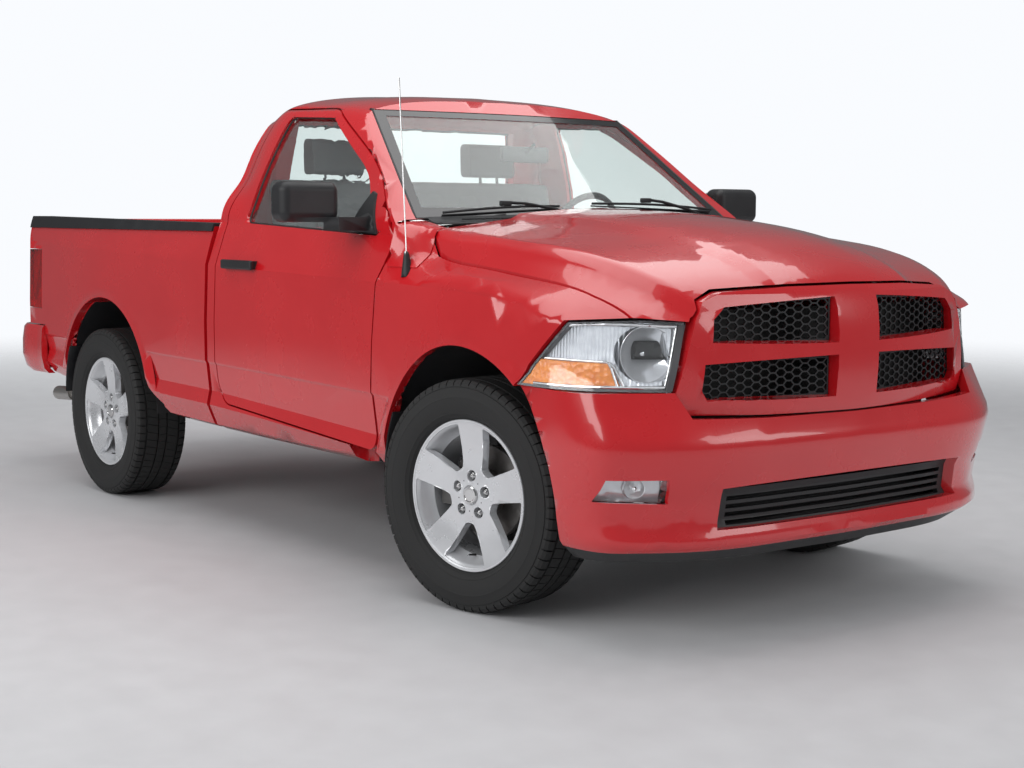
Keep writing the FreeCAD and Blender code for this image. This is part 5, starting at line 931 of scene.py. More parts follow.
@dataclass
class Wheels:
    """Tyres and alloy wheels at the four corners.

    Attributes:
        tyre: the tyre's sizes.
        wheel: the alloy wheel's sizes.
        spin: how far each wheel is turned about its axis.
    """

    frame: dict
    tyre: Tyre = field(default_factory=Tyre)
    wheel: AlloyWheel = field(default_factory=AlloyWheel)
    spin: float = math.radians(-3.3)

    def place(self, corner: str) -> Matrix:
        """Where a wheel stands: its axis outwards along the matrix's Y."""
        joint = next(j for j in self.frame["joints"] if j["name"] == "spin_" + corner)
        centre = Vector(joint["pos_m"])
        out = Vector(joint["axis"]).normalized() * (1 if centre.y > 0 else -1)
        up = Vector((0, 0, 1))
        turn = Matrix((out.cross(up), out, up)).transposed().to_4x4()
        return Matrix.Translation(centre) @ turn @ Matrix.Rotation(self.spin, 4, "Y")

    def build(self) -> None:
        """Model each piece once and copy it to the four corners."""
        wheel = self.wheel
        masters = [(self.tyre.build(), "tyre_{}_rubber", Palette.RUBBER, "tyre_rubber", "tyre_"),
                   (Bench.joined([wheel.face_piece(), wheel.barrel()], "alloy_master"), "alloy_{}",
                    Palette.ALLOY, "wheel_alloy", "wheel_"),
                   (wheel.nuts(), "wheel_nuts_{}", Palette.CHROME, "bright_steel", None),
                   (wheel.middle(), "wheel_cap_{}", Palette.CHROME, "bright_steel", None),
                   # Painted shade: black discs in the nuts' seats and black dots for the small holes.
                   (wheel.linings(), "nut_linings_{}", Palette.PLASTIC, "black_plastic", None),
                   (wheel.valve(), "valve_{}", Palette.PLASTIC, "black_plastic", None)]
        for corner in ("front_left", "front_right", "rear_left", "rear_right"):
            place = self.place(corner)
            for master, name, finish, slot, node in masters:
                piece = Bench.copied(master, name.format(corner), place)
                Bench.fit(piece, finish, slot, f"wheel_{corner}_body")
                if node:
                    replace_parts(piece, node + corner)
        for master, *_ in masters:
            bpy.data.objects.remove(master)


# ---------------------------------------------------------------- panels that are trimmed

def arch(centre: tuple[float, float], along: float, up: float, start: int, end: int, step: int = 6) -> Outline:
    """Points of a wheel arch's curve as (x, z).

    Args:
        centre: the curve's middle.
        along: half its length.
        up: its rise.
        start: the first angle in degrees from ahead.
        end: the last angle.
        step: degrees between the points.

    Returns:
        The points.
    """
    return [(centre[0] + along * math.cos(math.radians(a)), centre[1] + up * math.sin(math.radians(a)))
            for a in range(start, end + 1, step)]


@dataclass
class FenderCorner:
    """The rounded rear corner of a fender, laid from the pillar over the fender on a fine grid.

    The grid's columns run ahead, its rows turn up about a middle line inside the fender.

    Attributes:
        start: where the corner begins.
        reach: its length.
        low: the first row's angle above the level, in degrees.
        turn: the angle from the first row to the last.
        cuts: cuts of the grid each way.
        line: the middle line, as (y, z) on the right.
        lift: how far the corner stands over the fender.
        wedge: the corners of the box that clears the pillar's foot, on the left.
    """

    start: float = 1.166
    reach: float = 0.158
    low: float = 4.0
    turn: float = 72.0
    cuts: int = 15
    line: tuple[float, float] = (-0.800, 1.200)
    lift: float = 0.0006
    wedge: tuple[Point, Point] = ((1.178, 0.79, 1.20), (1.36, 1.00, 1.45))

    def angle(self, row: int) -> float:
        """A row's angle above the level, in radians."""
        return math.radians(self.low + self.turn * row / (self.cuts + 1))

    def away(self, skin: Piece, x: float, row: int, spare: float) -> float:
        """How far a skin lies from the middle line, looking in along a row."""
        arm = Vector((0.0, -math.cos(self.angle(row)), math.sin(self.angle(row))))
        middle = Vector((x, *self.line))
        struck, place, _, _ = skin.ray_cast(middle + arm * 0.4, -arm, distance=0.33)
        return (place - middle).length if struck else spare

    def grid(self) -> dict[tuple[int, int], float]:
        """How far each point of the corner lies from the middle line, from the pillar down to the fender."""
        sides, fenders = bpy.data.objects["body_sides_skin"], bpy.data.objects["fenders_skin"]
        cells: dict[tuple[int, int], float] = {}
        floor: dict[tuple[int, int], float] = {}
        for row in range(self.cuts + 2):
            lean = self.away(sides, self.start, row, 0.0)
            last = self.away(fenders, self.start + 0.02, row, lean)
            step_out = max(0.0, lean - last)
            for column in range(self.cuts + 2):
                share = column / (self.cuts + 1)
                last = self.away(fenders, self.start + self.reach * share, row, last)
                floor[(column, row)] = last + self.lift
                cells[(column, row)] = last + step_out * (1 + math.cos(math.pi * share)) / 2 + self.lift
        inside = range(1, self.cuts + 1)
        for _ in range(4):
            for column, row in ((c, r) for c in inside for r in inside):
                near = [cells[(column + c, row + r)] for c, r in ((1, 0), (-1, 0), (0, 1), (0, -1))]
                cells[(column, row)] = max(floor[(column, row)], sum(near) / 4)
        return cells

    def build(self) -> None:
        """Lay both corners and cut the wedges of the pillars' feet away."""
        corner = Bench.patch("fender_corner", [(0, 0, 0), (1, 0, 0), (1, 1, 0), (0, 1, 0)], self.cuts)
        cells, last = self.grid(), self.cuts + 1
        y, z = self.line
        for vertex in corner.data.vertices:
            column, row = round(vertex.co.x * last), round(vertex.co.y * last)
            out, angle = cells[(column, row)], self.angle(row)
            vertex.co = (self.start + self.reach * column / last, y - out * math.cos(angle),
                         z + out * math.sin(angle))
        Bench.thickened(corner, 0.003)
        for side in (1, -1):
            low, high = ((x, y * side, z) for x, y, z in self.wedge)
            Bench.cut(bpy.data.objects["body_sides_skin"], Bench.box("wedge", low, high))
        left = Bench.copied(corner, "fender_corner_left", MIRROR)
        corner.name = "fender_corner_right"
        for piece in (left, corner):
            Bench.fit(piece, Palette.PAINT, "body_paint")


@dataclass
class Trimmed:
    """Cuts and dark liners that the skins of the carried-over panels get.

    Attributes:
        rear_arch: middle of the rear wheel arch as (x, z).
        front_arch: middle of the front wheel arch.
        liner: radius of the liner over a rear wheel.
        liner_span: from where to where the liner goes across.
        liner_top: the height at which it is split for the bed's floor.
        house: outer and inner radius of the wheel house in the bed.
        house_span: where it starts across, and how far it goes.
        bar: the corners of the box that clears a door opening, on the left.
        foot_top: the upper end of the antenna's foot.
        slats: number, lowest place and distance of the intake screen's fins.
    """

    rear_arch: tuple[float, float] = (-1.3565, 0.480)
    front_arch: tuple[float, float] = (1.6645, 0.430)
    liner: float = 0.5155
    liner_span: tuple[float, float] = (0.962, 0.662)
    liner_top: float = 0.995
    house: tuple[float, float] = (0.5335, 0.5190)
    house_span: tuple[float, float] = (0.6480, 0.1945)
    bar: tuple[Point, Point] = ((-0.166, 0.780, 1.290), (1.050, 0.876, 1.376))
    foot_top: float = 1.262
    slats: tuple[int, float, float] = (20, 0.372, 0.0105)

    WINDOWS = (((0.118, 0.999), (0.606, 0.999), (0.600, 1.070), (0.560, 1.108), (0.118, 1.124)),
               ((0.118, 0.815), (0.620, 0.812), (0.640, 0.840), (0.632, 0.925), (0.118, 0.925)))
    LIP_FOOT = ((1.0095, 0.610), (0.999, 0.568), (0.991, 0.545), (0.954, 0.473), (0.906, 0.451), (0.86, 0.430),
                (0.86, 0.36), (1.06, 0.36), (1.06, 0.610))

    def grille(self) -> None:
        """Open the grille's windows through the whole thickness of the surround."""
        for outline in self.WINDOWS:
            for side in (1, -1):
                Bench.cut(bpy.data.objects["grille_surround_skin"],
                          Bench.prism("window", [(2.40, y * side, z) for y, z in outline], (0.215, 0.0, 0.0)))

    def fins(self) -> None:
        """Take off the feet of the wheel arches' lips, where the sill turns in under them."""
        for name, near, far, shift in (("bedsides_skin", -0.95, -0.75, 0.028),
                                       ("bedsides_skin", -2.00, -1.80, 0.060),
                                       ("fenders_skin", 1.10, 1.24, -0.026)):
            for side in (1, -1):
                Bench.cut(bpy.data.objects[name],
                          Bench.prism("foot", [(near, y * side, z + shift) for y, z in self.LIP_FOOT],
                                      (far - near, 0.0, 0.0)))

    def rear_liners(self) -> None:
        """The black liners over the rear wheels, up to the wheel houses of the load bed."""
        arc = arch(self.rear_arch, self.liner, self.liner, 0, 180)
        arc = [(arc[0][0], 0.46)] + arc + [(arc[-1][0], 0.50)]
        outer, inner = self.liner_span
        shell = Bench.line("rear_liner", [(x, outer, z) for x, z in arc])
        bpy.ops.mesh.extrude_region_move(TRANSFORM_OT_translate={"value": (0.0, inner - outer, 0.0)})
        Bench.mode()
        wall = Bench.line("liner_wall", [(x, inner, z) for x, z in arc])
        bpy.ops.mesh.edge_face_add()
        Bench.mode()
        split = {"plane_co": (0.0, 0.0, self.liner_top), "plane_no": (0.0, 0.0, 1.0)}
        liner = Bench.edited(Bench.joined([shell, wall], "rear_liner_left"),
                             lambda: bpy.ops.mesh.remove_doubles(threshold=0.0001),
                             lambda: bpy.ops.mesh.normals_make_consistent(inside=True),
                             lambda: bpy.ops.mesh.bisect(**split))
        Bench.pair(Bench.thickened(liner, 0.002), "rear_liner", Palette.PLASTIC)

    def bed_houses(self) -> None:
        """The painted wheel houses inside the load bed, over the liners."""
        outer, inner = (arch(self.rear_arch, radius, radius, 36, 144) for radius in self.house)
        near, run = self.house_span
        shell = Bench.prism("bed_house", [(x, near, z) for x, z in outer + inner[::-1]], (0.0, run, 0.0), 0.004)
        wall = Bench.prism("house_wall", [(x, near, z) for x, z in outer], (0.0, 0.0050, 0.0), 0.002)
        Bench.pair(Bench.joined([shell, wall], "bed_house_left"), "bed_house", Palette.PAINT, "body_paint")

    def door_ways(self) -> None:
        """Clear the thin bar of the body's sides out of the door openings."""
        for side in (1, -1):
            low, high = ((x, y * side, z) for x, y, z in self.bar)
            Bench.cut(bpy.data.objects["body_sides_skin"], Bench.box("bar", low, high))

    def guards(self) -> None:
        """The black strips along the rear edges of the wheel arches."""
        for name, centre, along, up, end in (("rear_guard", self.rear_arch, 0.513, 0.513, 0.50),
                                             ("front_guard", self.front_arch, 0.475, 0.520, 0.452)):
            outer, inner = (arch(centre, along + out, up + out, 152, 180, 4) for out in (0.0006, -0.0075))
            outline = outer + [(outer[-1][0], end), (inner[-1][0], end)] + inner[::-1]
            strip = Bench.prism(name, [(x, 0.930, z) for x, z in outline], (0.0, 0.064, 0.0), 0.002)
            Bench.pair(strip, name, Palette.PLASTIC)

    def antenna_foot(self) -> None:
        """The antenna's black foot, apart from its bright rod."""
        rod = bpy.data.objects["antenna_skin"]
        foot = Bench.copied(rod, "antenna_foot")
        Bench.keep_faces(foot, lambda face: face.center.z < self.foot_top)
        Bench.keep_faces(rod, lambda face: face.center.z >= self.foot_top)
        Bench.fit(foot, Palette.PLASTIC)

    def cooling(self) -> None:
        """The dark screen of the radiator behind the lower intake."""
        parts = [Bench.box("intake_screen", (2.425, -0.80, 0.340), (2.437, 0.80, 0.600), 0.002)]
        count, lowest, apart = self.slats
        for number in range(count):
            height = lowest + number * apart
            parts.append(Bench.box(f"fin_{number}", (2.436, -0.66, height), (2.441, 0.66, height + 0.0035)))
        Bench.fit(Bench.joined(parts, "intake_screen"), Palette.PLASTIC)

    def build(self) -> None:
        """Trim every panel."""
        for step in (self.grille, self.fins, self.rear_liners, self.bed_houses, self.door_ways, self.guards,
                     FenderCorner().build, self.antenna_foot, self.cooling):
            step()


# ---------------------------------------------------------------- glass edges

@dataclass
class GlassEdges:
    """Black seals and printed edges on the cab's glass.

    Attributes:
        seal: radius of the rubber seals.
        print_gap: how far the printed bands stand over the glass.
    """

    seal: float = 0.0055
    print_gap: float = 0.0008

    SHARP = math.radians(50)

    def seal_round(self, skin: str, name: str, facing: Point, body: str) -> None:
        """Run a rubber seal round the outer face of a pane.

        Args:
            skin: the pane's piece.
            name: the seal's name.
            facing: the way that the outer face looks.
            body: the body that it rides on.
        """
        pane = bpy.data.objects[skin]
        loop = Bench.copied(pane, name)
        way = Vector(facing).normalized()
        Bench.keep_faces(loop, lambda polygon: polygon.normal.dot(way) >= 0.55)
        Bench.mode("EDIT")
        bpy.ops.mesh.select_mode(type="FACE")
        bpy.ops.mesh.select_all(action="SELECT")
        bpy.ops.mesh.region_to_loop()
        bpy.ops.mesh.select_all(action="INVERT")
        bpy.ops.mesh.delete(type="EDGE")
        bpy.ops.mesh.select_mode(type="VERT")
        Bench.mode()
        loop.data.materials.clear()
        Bench.fit(Bench.piped(loop, self.seal, 2, self.SHARP), Palette.PLASTIC, body=body)

    def printed(self) -> None:
        """Lay the black printed band on the windshield's border."""
        outer = [(-0.814, 1.392), (0.814, 1.392), (0.808, 1.411), (0.659, 1.830), (-0.659, 1.830),
                 (-0.808, 1.411)]
        inner = [(-0.762, 1.432), (0.762, 1.432), (0.758, 1.444), (0.622, 1.806), (-0.622, 1.806),
                 (-0.758, 1.444)]
        band = Bench.band("windshield_print", [(2.0, y, z) for y, z in outer],
                          [(2.0, y, z) for y, z in inner], 15)
        Bench.modified(band, "SHRINKWRAP", target=bpy.data.objects["cab_glass_skin"], wrap_method="PROJECT",
                       wrap_mode="ABOVE_SURFACE", use_project_x=True, use_negative_direction=True,
                       use_positive_direction=False, offset=self.print_gap)
        Bench.smooth(Bench.modified(band, "SOLIDIFY", thickness=0.0006, offset=0.0))
        Bench.fit(band, Palette.PRINT)

    def build(self) -> None:
        """Fit every seal and print."""
        self.printed()
        self.seal_round("cab_glass_skin", "windshield_seal", (0.62, 0.0, 0.78), "chassis")
        self.seal_round("cab_glass_skin", "rear_window_seal", (-1.0, 0.0, 0.1), "chassis")
        for side, way in (("left", 1.0), ("right", -1.0)):
            self.seal_round(f"door_glass_{side}_skin", f"window_seal_{side}", (0.0, way, 0.15),
                            f"door_{side}_body")


# ---------------------------------------------------------------- cowl and wipers

@dataclass
class Wipers:
    """The cowl's black cover and the two wiper arms with their blades.

    Attributes:
        lift: how far a blade's back stands over the glass.
        steps: steps along a blade.
        half: half the cowl cover's width.
        front: its front edge, while it is flat.
        back: its rear edge.
        slats: how many slats it has on each side.
    """

    lift: float = 0.012
    steps: int = 8
    half: float = 0.772
    front: float = 1.305
    back: float = 1.118
    slats: int = 14

    def shield_x(self, y: float, z: float) -> float:
        """The windshield's outer face, as a distance ahead at one place."""
        radius = 4.486 - 2.8 * (z - 1.405)
        return 1.6445 - 0.435 - (z - 1.405) * 1.256 - (radius - math.sqrt(radius * radius - y * y))

    def on_glass(self, y: float, z: float, off: float) -> Point:
        """A point that far off the windshield."""
        return (self.shield_x(y, z) + off * 0.62, y, z + off * 0.78)

    def along(self, outer: tuple[float, float], inner: tuple[float, float], bow: float) -> list[Point]:
        """Points along a blade, bowed away from the glass in its middle."""
        shares = [step / self.steps for step in range(self.steps + 1)]
        return [self.on_glass(*(a + (b - a) * share for a, b in zip(outer, inner)),
                              self.lift + bow * math.sin(math.pi * share)) for share in shares]

    def wiper(self, name: str, outer: tuple[float, float], inner: tuple[float, float],
              hold: tuple[float, float], pivot: Point) -> None:
        """One arm and its blade.

        Args:
            name: the wiper's name.
            outer: the blade's outer end as (y, z).
            inner: its inner end.
            hold: where the arm holds it.
            pivot: the arm's spindle.
        """
        back = Bench.tube(name + "_back", self.along(outer, inner, 0.010), 0.0052)
        rubber = [(x - 0.0075, y, z - 0.0095) for x, y, z in self.along(outer, inner, 0.0)]
        edge = Bench.tube(name + "_edge", rubber, 0.0032)
        held = Vector(self.on_glass(hold[0], hold[1], self.lift + 0.022))
        root = Vector(pivot)
        knee = root + (held - root) * 0.28 + Vector((0.002, 0.0, 0.016))
        far = root + (held - root) * 0.72 + Vector((0.002, 0.0, 0.012))
        arm = Bench.tube(name + "_arm", [root + Vector((0, 0, 0.010)), knee, far, held], 0.0062)
        hub = Bench.rod(name + "_hub", root - Vector((0, 0, 0.03)), root + Vector((0.004, 0, 0.016)), 0.017,
                        28, 0.004, 0.013)
        joint = Bench.box(name + "_joint", held - Vector((0.009, 0.026, 0.014)),
                          held + Vector((0.009, 0.026, 0.006)), 0.004)
        Bench.fit(Bench.smooth(Bench.joined([back, edge, arm, hub, joint], name)), Palette.PLASTIC)

    def rise(self, y: float) -> float:
        """The height of the cowl cover's rear edge."""
        return 1.394 + 0.012 * (1 - (y / self.half) ** 2)

    def cowl(self) -> None:
        """The louvred cover between the hood and the windshield."""
        front, back, half = self.front, self.back, self.half
        panel = Bench.patch("cowl_cover", [(front, -half, 1.36), (front, half, 1.36), (back, half, 1.36),
                                           (back, -half, 1.36)], 19)
        for vertex in panel.data.vertices:
            share = (vertex.co.x - back) / (front - back)
            y = vertex.co.y
            foot = self.shield_x(y, 1.398)
            ahead = 1.268 + 0.036 * (1 - (y / half) ** 2)
            vertex.co.x = foot - 0.004 + (ahead - foot) * share
            vertex.co.z = self.rise(y) - 0.026 * share - 0.010 * math.sin(math.pi * min(share * 1.2, 1.0))
        parts = [Bench.thickened(panel, 0.003)]
        for y in (side * (0.20 + number * 0.034) for side in (-1, 1) for number in range(self.slats)):
            x, z = self.shield_x(y, 1.398) + 0.030, self.rise(y) - 0.012
            parts.append(Bench.box("slat", (x, y - 0.004, z), (x + 0.045, y + 0.004, z + 0.006), 0.0015))
        Bench.fit(Bench.joined(parts, "cowl_cover"), Palette.PLASTIC)

    def build(self) -> None:
        """Fit the cover and both wipers."""
        self.cowl()
        self.wiper("wiper_right", (-0.705, 1.404), (-0.150, 1.432), (-0.420, 1.428), (1.196, -0.085, 1.398))
        self.wiper("wiper_left", (0.035, 1.444), (0.745, 1.424), (0.330, 1.446), (1.182, 0.640, 1.398))


# ---------------------------------------------------------------- lamps

@dataclass
class Lamps:
    """What is inside the headlamps and the fog lamps, modelled on the right and mirrored.

    Attributes:
        amber_depth: how far the amber indicator lies inside the lens.
        sheet_depth: how far the reflector lies inside the lens.
        bowl_place: the bowl's deepest point.
        bowl_focus: focal length of the bowl.
        bowl_turn: how far the bowl is turned outwards.
    """

    amber_depth: float = 0.010
    sheet_depth: float = 0.022
    bowl_place: Point = (2.348, -0.763, 0.959)
    bowl_focus: float = 0.0288
    bowl_turn: float = math.radians(-20.0)

    HEAD = ((2.0, -1.1, 0.80), (2.6, -0.6, 1.10))

    def lens(self) -> Piece:
        """The piece with the lamps' lenses."""
        return bpy.data.objects["lamp_lenses_skin"]

    def inside(self, start: Point, way: Point, depth: float) -> Point:
        """A point that far inside a lens, found by looking one way."""
        found, place, normal, _ = self.lens().ray_cast(Vector(start), Vector(way))
        if not found:
            raise ValueError(f"no lens from {start}")
        return tuple(place - normal * depth)

    def under(self, x: float, z: float, depth: float = 0.012) -> Point:
        """A point inside the right headlamp's lens, found from the side."""
        return self.inside((x, -1.6, z), (0.0, 1.0, 0.0), depth)

    @staticmethod
    def inboard(z: float) -> float:
        """Where the right lens ends inboard, at one height."""
        return -(0.752 - (z - 0.800) * 0.2533)

    def under_front(self, y: float, z: float, depth: float = 0.012) -> Point:
        """A point inside a lens, found from ahead."""
        return self.inside((3.2, y, z), (-1.0, 0.0, 0.0), depth)

    def sheet(self, name: str, low: Point, high: Point, depth: float, thickness: float) -> Piece:
        """A sheet that follows the lens from inside, between two corners.

        Args:
            name: the sheet's name.
            low: the lowest corner of the box that it is kept in.
            high: the highest corner.
            depth: how far it lies inside the lens's inner face.
            thickness: how thick it is.

        Returns:
            The sheet.
        """
        piece = Bench.copied(self.lens(), name)
        centre = Vector((2.05, -0.55, 0.95)) if low[2] > 0.7 else Vector((2.2, -0.8, 0.525))

        def inner(polygon: bpy.types.MeshPolygon) -> bool:
            """Whether a face of the lens looks into the lamp, within the box."""
            middle = polygon.center
            inward = polygon.normal.dot((centre - middle).normalized())
            return inward >= 0.25 and all(a <= m <= b for m, a, b in zip(middle, low, high))

        Bench.keep_faces(piece, inner)
        Bench.edited(piece, lambda: bpy.ops.transform.shrink_fatten(value=depth))
        piece.data.materials.clear()
        if thickness:
            Bench.thickened(piece, thickness)
        return piece

    @staticmethod
    def sliced(piece: Piece, place: Point, normal: Point, fill: bool = True) -> None:
        """Cut away what lies on the side of a plane that its normal points to."""
        Bench.edited(piece, lambda: bpy.ops.mesh.bisect(plane_co=place, plane_no=normal, clear_outer=True,
                                                        use_fill=fill))

    def amber(self) -> Piece:
        """The indicator, low at the outer end."""
        piece = self.sheet("indicator", *self.HEAD, self.amber_depth, 0.006)
        self.sliced(piece, (2.2, -0.98, 0.9315), (0.016, 0.0, 1.0))
        self.sliced(piece, (2.3600, -0.89, 0.8973), (0.924, 0.0, 0.382))
        return piece

    def frame(self) -> Piece:
        """The bright frame round the indicator and along the lens's edges."""
        near = [self.under(x, z, 0.011) for x, z in (
            (2.128, 0.938), (2.18, 0.9385), (2.24, 0.9380), (2.30, 0.9368), (2.345, 0.9355), (2.352, 0.931),
            (2.360, 0.915), (2.368, 0.893), (2.377, 0.868), (2.382, 0.856))]
        inner = [self.under(x, z) for x, z in ((2.352, 0.934), (2.366, 0.921), (2.384, 0.885), (2.396, 0.858))]
        below = [self.under(x, z) for x, z in ((2.09, 0.854), (2.16, 0.8545), (2.24, 0.8545), (2.32, 0.8545),
                                               (2.39, 0.8545), (2.45, 0.8545))]
        below.append(self.under_front(self.inboard(0.856) - 0.022, 0.8560))
        inboard = [self.under_front(self.inboard(z) - 0.022, z) for z in (0.857, 0.90, 0.95, 1.00, 1.050)]
        above = [self.under(x, z) for x, z in ((2.215, 1.049), (2.28, 1.0555), (2.34, 1.0575), (2.40, 1.0555))]
        above += [self.under_front(-0.79, 1.0525), self.under_front(self.inboard(1.05) - 0.022, 1.0500)]
        edges = ((near, 0.0042), (inner, 0.0040), (below, 0.0068), (inboard, 0.0036), (above, 0.0062))
        return Bench.joined([Bench.tube("frame", points, radius) for points, radius in edges], "lamp_frame")

    def bowl(self) -> Piece:
        """The main beam's bowl, trimmed behind the lens."""
        steps = 14
        profile = [(0.0915 * s / steps, (0.0915 * s / steps) ** 2 / (4 * self.bowl_focus))
                   for s in range(steps + 1)]
        profile.append((0.0916, 0.170))
        bowl = Bench.turned("main_bowl", profile, 64, False)
        turn = Matrix.Rotation(self.bowl_turn - math.pi / 2, 4, "Z")
        bowl.data.transform(Matrix.Translation(self.bowl_place) @ turn)
        for place, normal in (((2.431, -0.790, 0.962), (0.803, -0.596, 0.0)),
                              ((2.40, -0.77, 1.050), (0.0, 0.0, 1.0)), ((2.40, -0.77, 0.864), (0.0, 0.0, -1.0)),
                              ((2.48, -0.728, 0.962), (0.20, 0.955, 0.22))):
            self.sliced(bowl, place, normal, False)
        return Bench.thickened(bowl, 0.0014)

    def beam(self) -> Vector:
        """The way that the bowl looks."""
        return Vector((math.cos(self.bowl_turn), math.sin(self.bowl_turn), 0.0))

    def opening(self) -> Piece:
        """What is cut from the reflector and from the housing for the bowl."""
        place, ahead = Vector(self.bowl_place), self.beam()
        cutter = Bench.rod("bowl_room", place - ahead * 0.03, place + ahead * 0.20, 0.0925, 64)
        for at, normal in (((2.40, -0.77, 1.0488), (0.0, 0.0, 1.0)), ((2.40, -0.77, 0.8650), (0.0, 0.0, -1.0)),
                           ((2.48, -0.7290, 0.962), (0.20, 0.955, 0.22))):
            self.sliced(cutter, at, normal)
        return cutter

    def bulb(self) -> Piece:
        """The bulb in the bowl, with its cap."""
        place, ahead = Vector(self.bowl_place), self.beam()
        neck = Bench.rod("bulb_neck", place, place + ahead * 0.018, 0.013, 24, 0.002)
        glass = Bench.rod("bulb_glass", place + ahead * 0.016, place + ahead * 0.046, 0.0075, 20, 0.003)
        return Bench.joined([neck, glass], "bulb")

    def fog(self) -> list[tuple[Piece, Finish | Glass, str]]:
        """The fog lamp's reflector and bulb."""
        sheet = self.sheet("fog_reflector", (2.0, -1.1, 0.45), (2.7, -0.7, 0.60), 0.010, 0.0015)
        centre = Vector(self.under_front(-0.873, 0.525, 0.030))
        dish = Bench.turned("fog_dish", [(0.0, 0.0), (0.016, 0.002), (0.026, 0.008), (0.033, 0.017),
                                         (0.0355, 0.0175), (0.036, -0.004), (0.0, -0.008)], 40, False)
        dish.data.transform(Matrix.Translation(centre) @ Matrix.Rotation(math.radians(-112), 4, "Z"))
        ahead = Vector((math.cos(math.radians(-22)), math.sin(math.radians(-22)), 0))
        bulb = Bench.rod("fog_bulb", centre, centre + ahead * 0.016, 0.0085, 20, 0.003)
        return [(sheet, Palette.REFLECTOR, "lamp_housing"), (dish, Palette.REFLECTOR, "lamp_housing"),
                (bulb, Palette.CHROME, "bright_steel")]

    def seal(self) -> Piece:
        """The dark strip between the lens and the grille's surround."""
        heights = (0.8440, 0.896, 0.948, 1.002, 1.0535)
        edges = [[self.under_front(self.inboard(z) - out, z, -0.0006) for z in heights]
                 for out in (0.0175, 0.0015)]
        tubes = [Bench.tube("seal_edge", edge, 0.0028) for edge in edges]
        lines = []
        for edge in edges:
            lines.append(Bench.line("seal_strip", edge))
            Bench.mode()
        both = Bench.edited(Bench.joined(lines, "seal_strip"), bpy.ops.mesh.bridge_edge_loops)
        Bench.thickened(both, 0.002)
        return Bench.joined([both] + tubes, "lamp_seal")

    def build(self) -> None:
        """Model the right lamps and mirror every piece to the left."""
        reflector = self.sheet("reflector", *self.HEAD, self.sheet_depth, 0.0)
        Bench.cut(reflector, self.opening(), "FAST")
        Bench.thickened(reflector, 0.0016)
        room = self.opening()
        for cutter in (room, Bench.copied(room, "bowl_room_left", MIRROR)):
            Bench.cut(bpy.data.objects["headlamps_skin"], cutter)
        pieces = [(reflector, Palette.FLUTED, "lamp_housing"), (self.bowl(), Palette.REFLECTOR, "lamp_housing"),
                  (self.amber(), Palette.AMBER, "lamp_glass"), (self.frame(), Palette.CHROME, "bright_steel"),
                  (self.bulb(), Palette.CHROME, "bright_steel"), (self.seal(), Palette.SEAL, "black_plastic")]
        for piece, finish, slot in pieces + self.fog():
            name = piece.name
            piece.name = name + "_right"
            left = Bench.copied(piece, name + "_left", MIRROR)
            for side in (piece, left):
                Bench.fit(side, finish, slot)


# ---------------------------------------------------------------- seat and cab

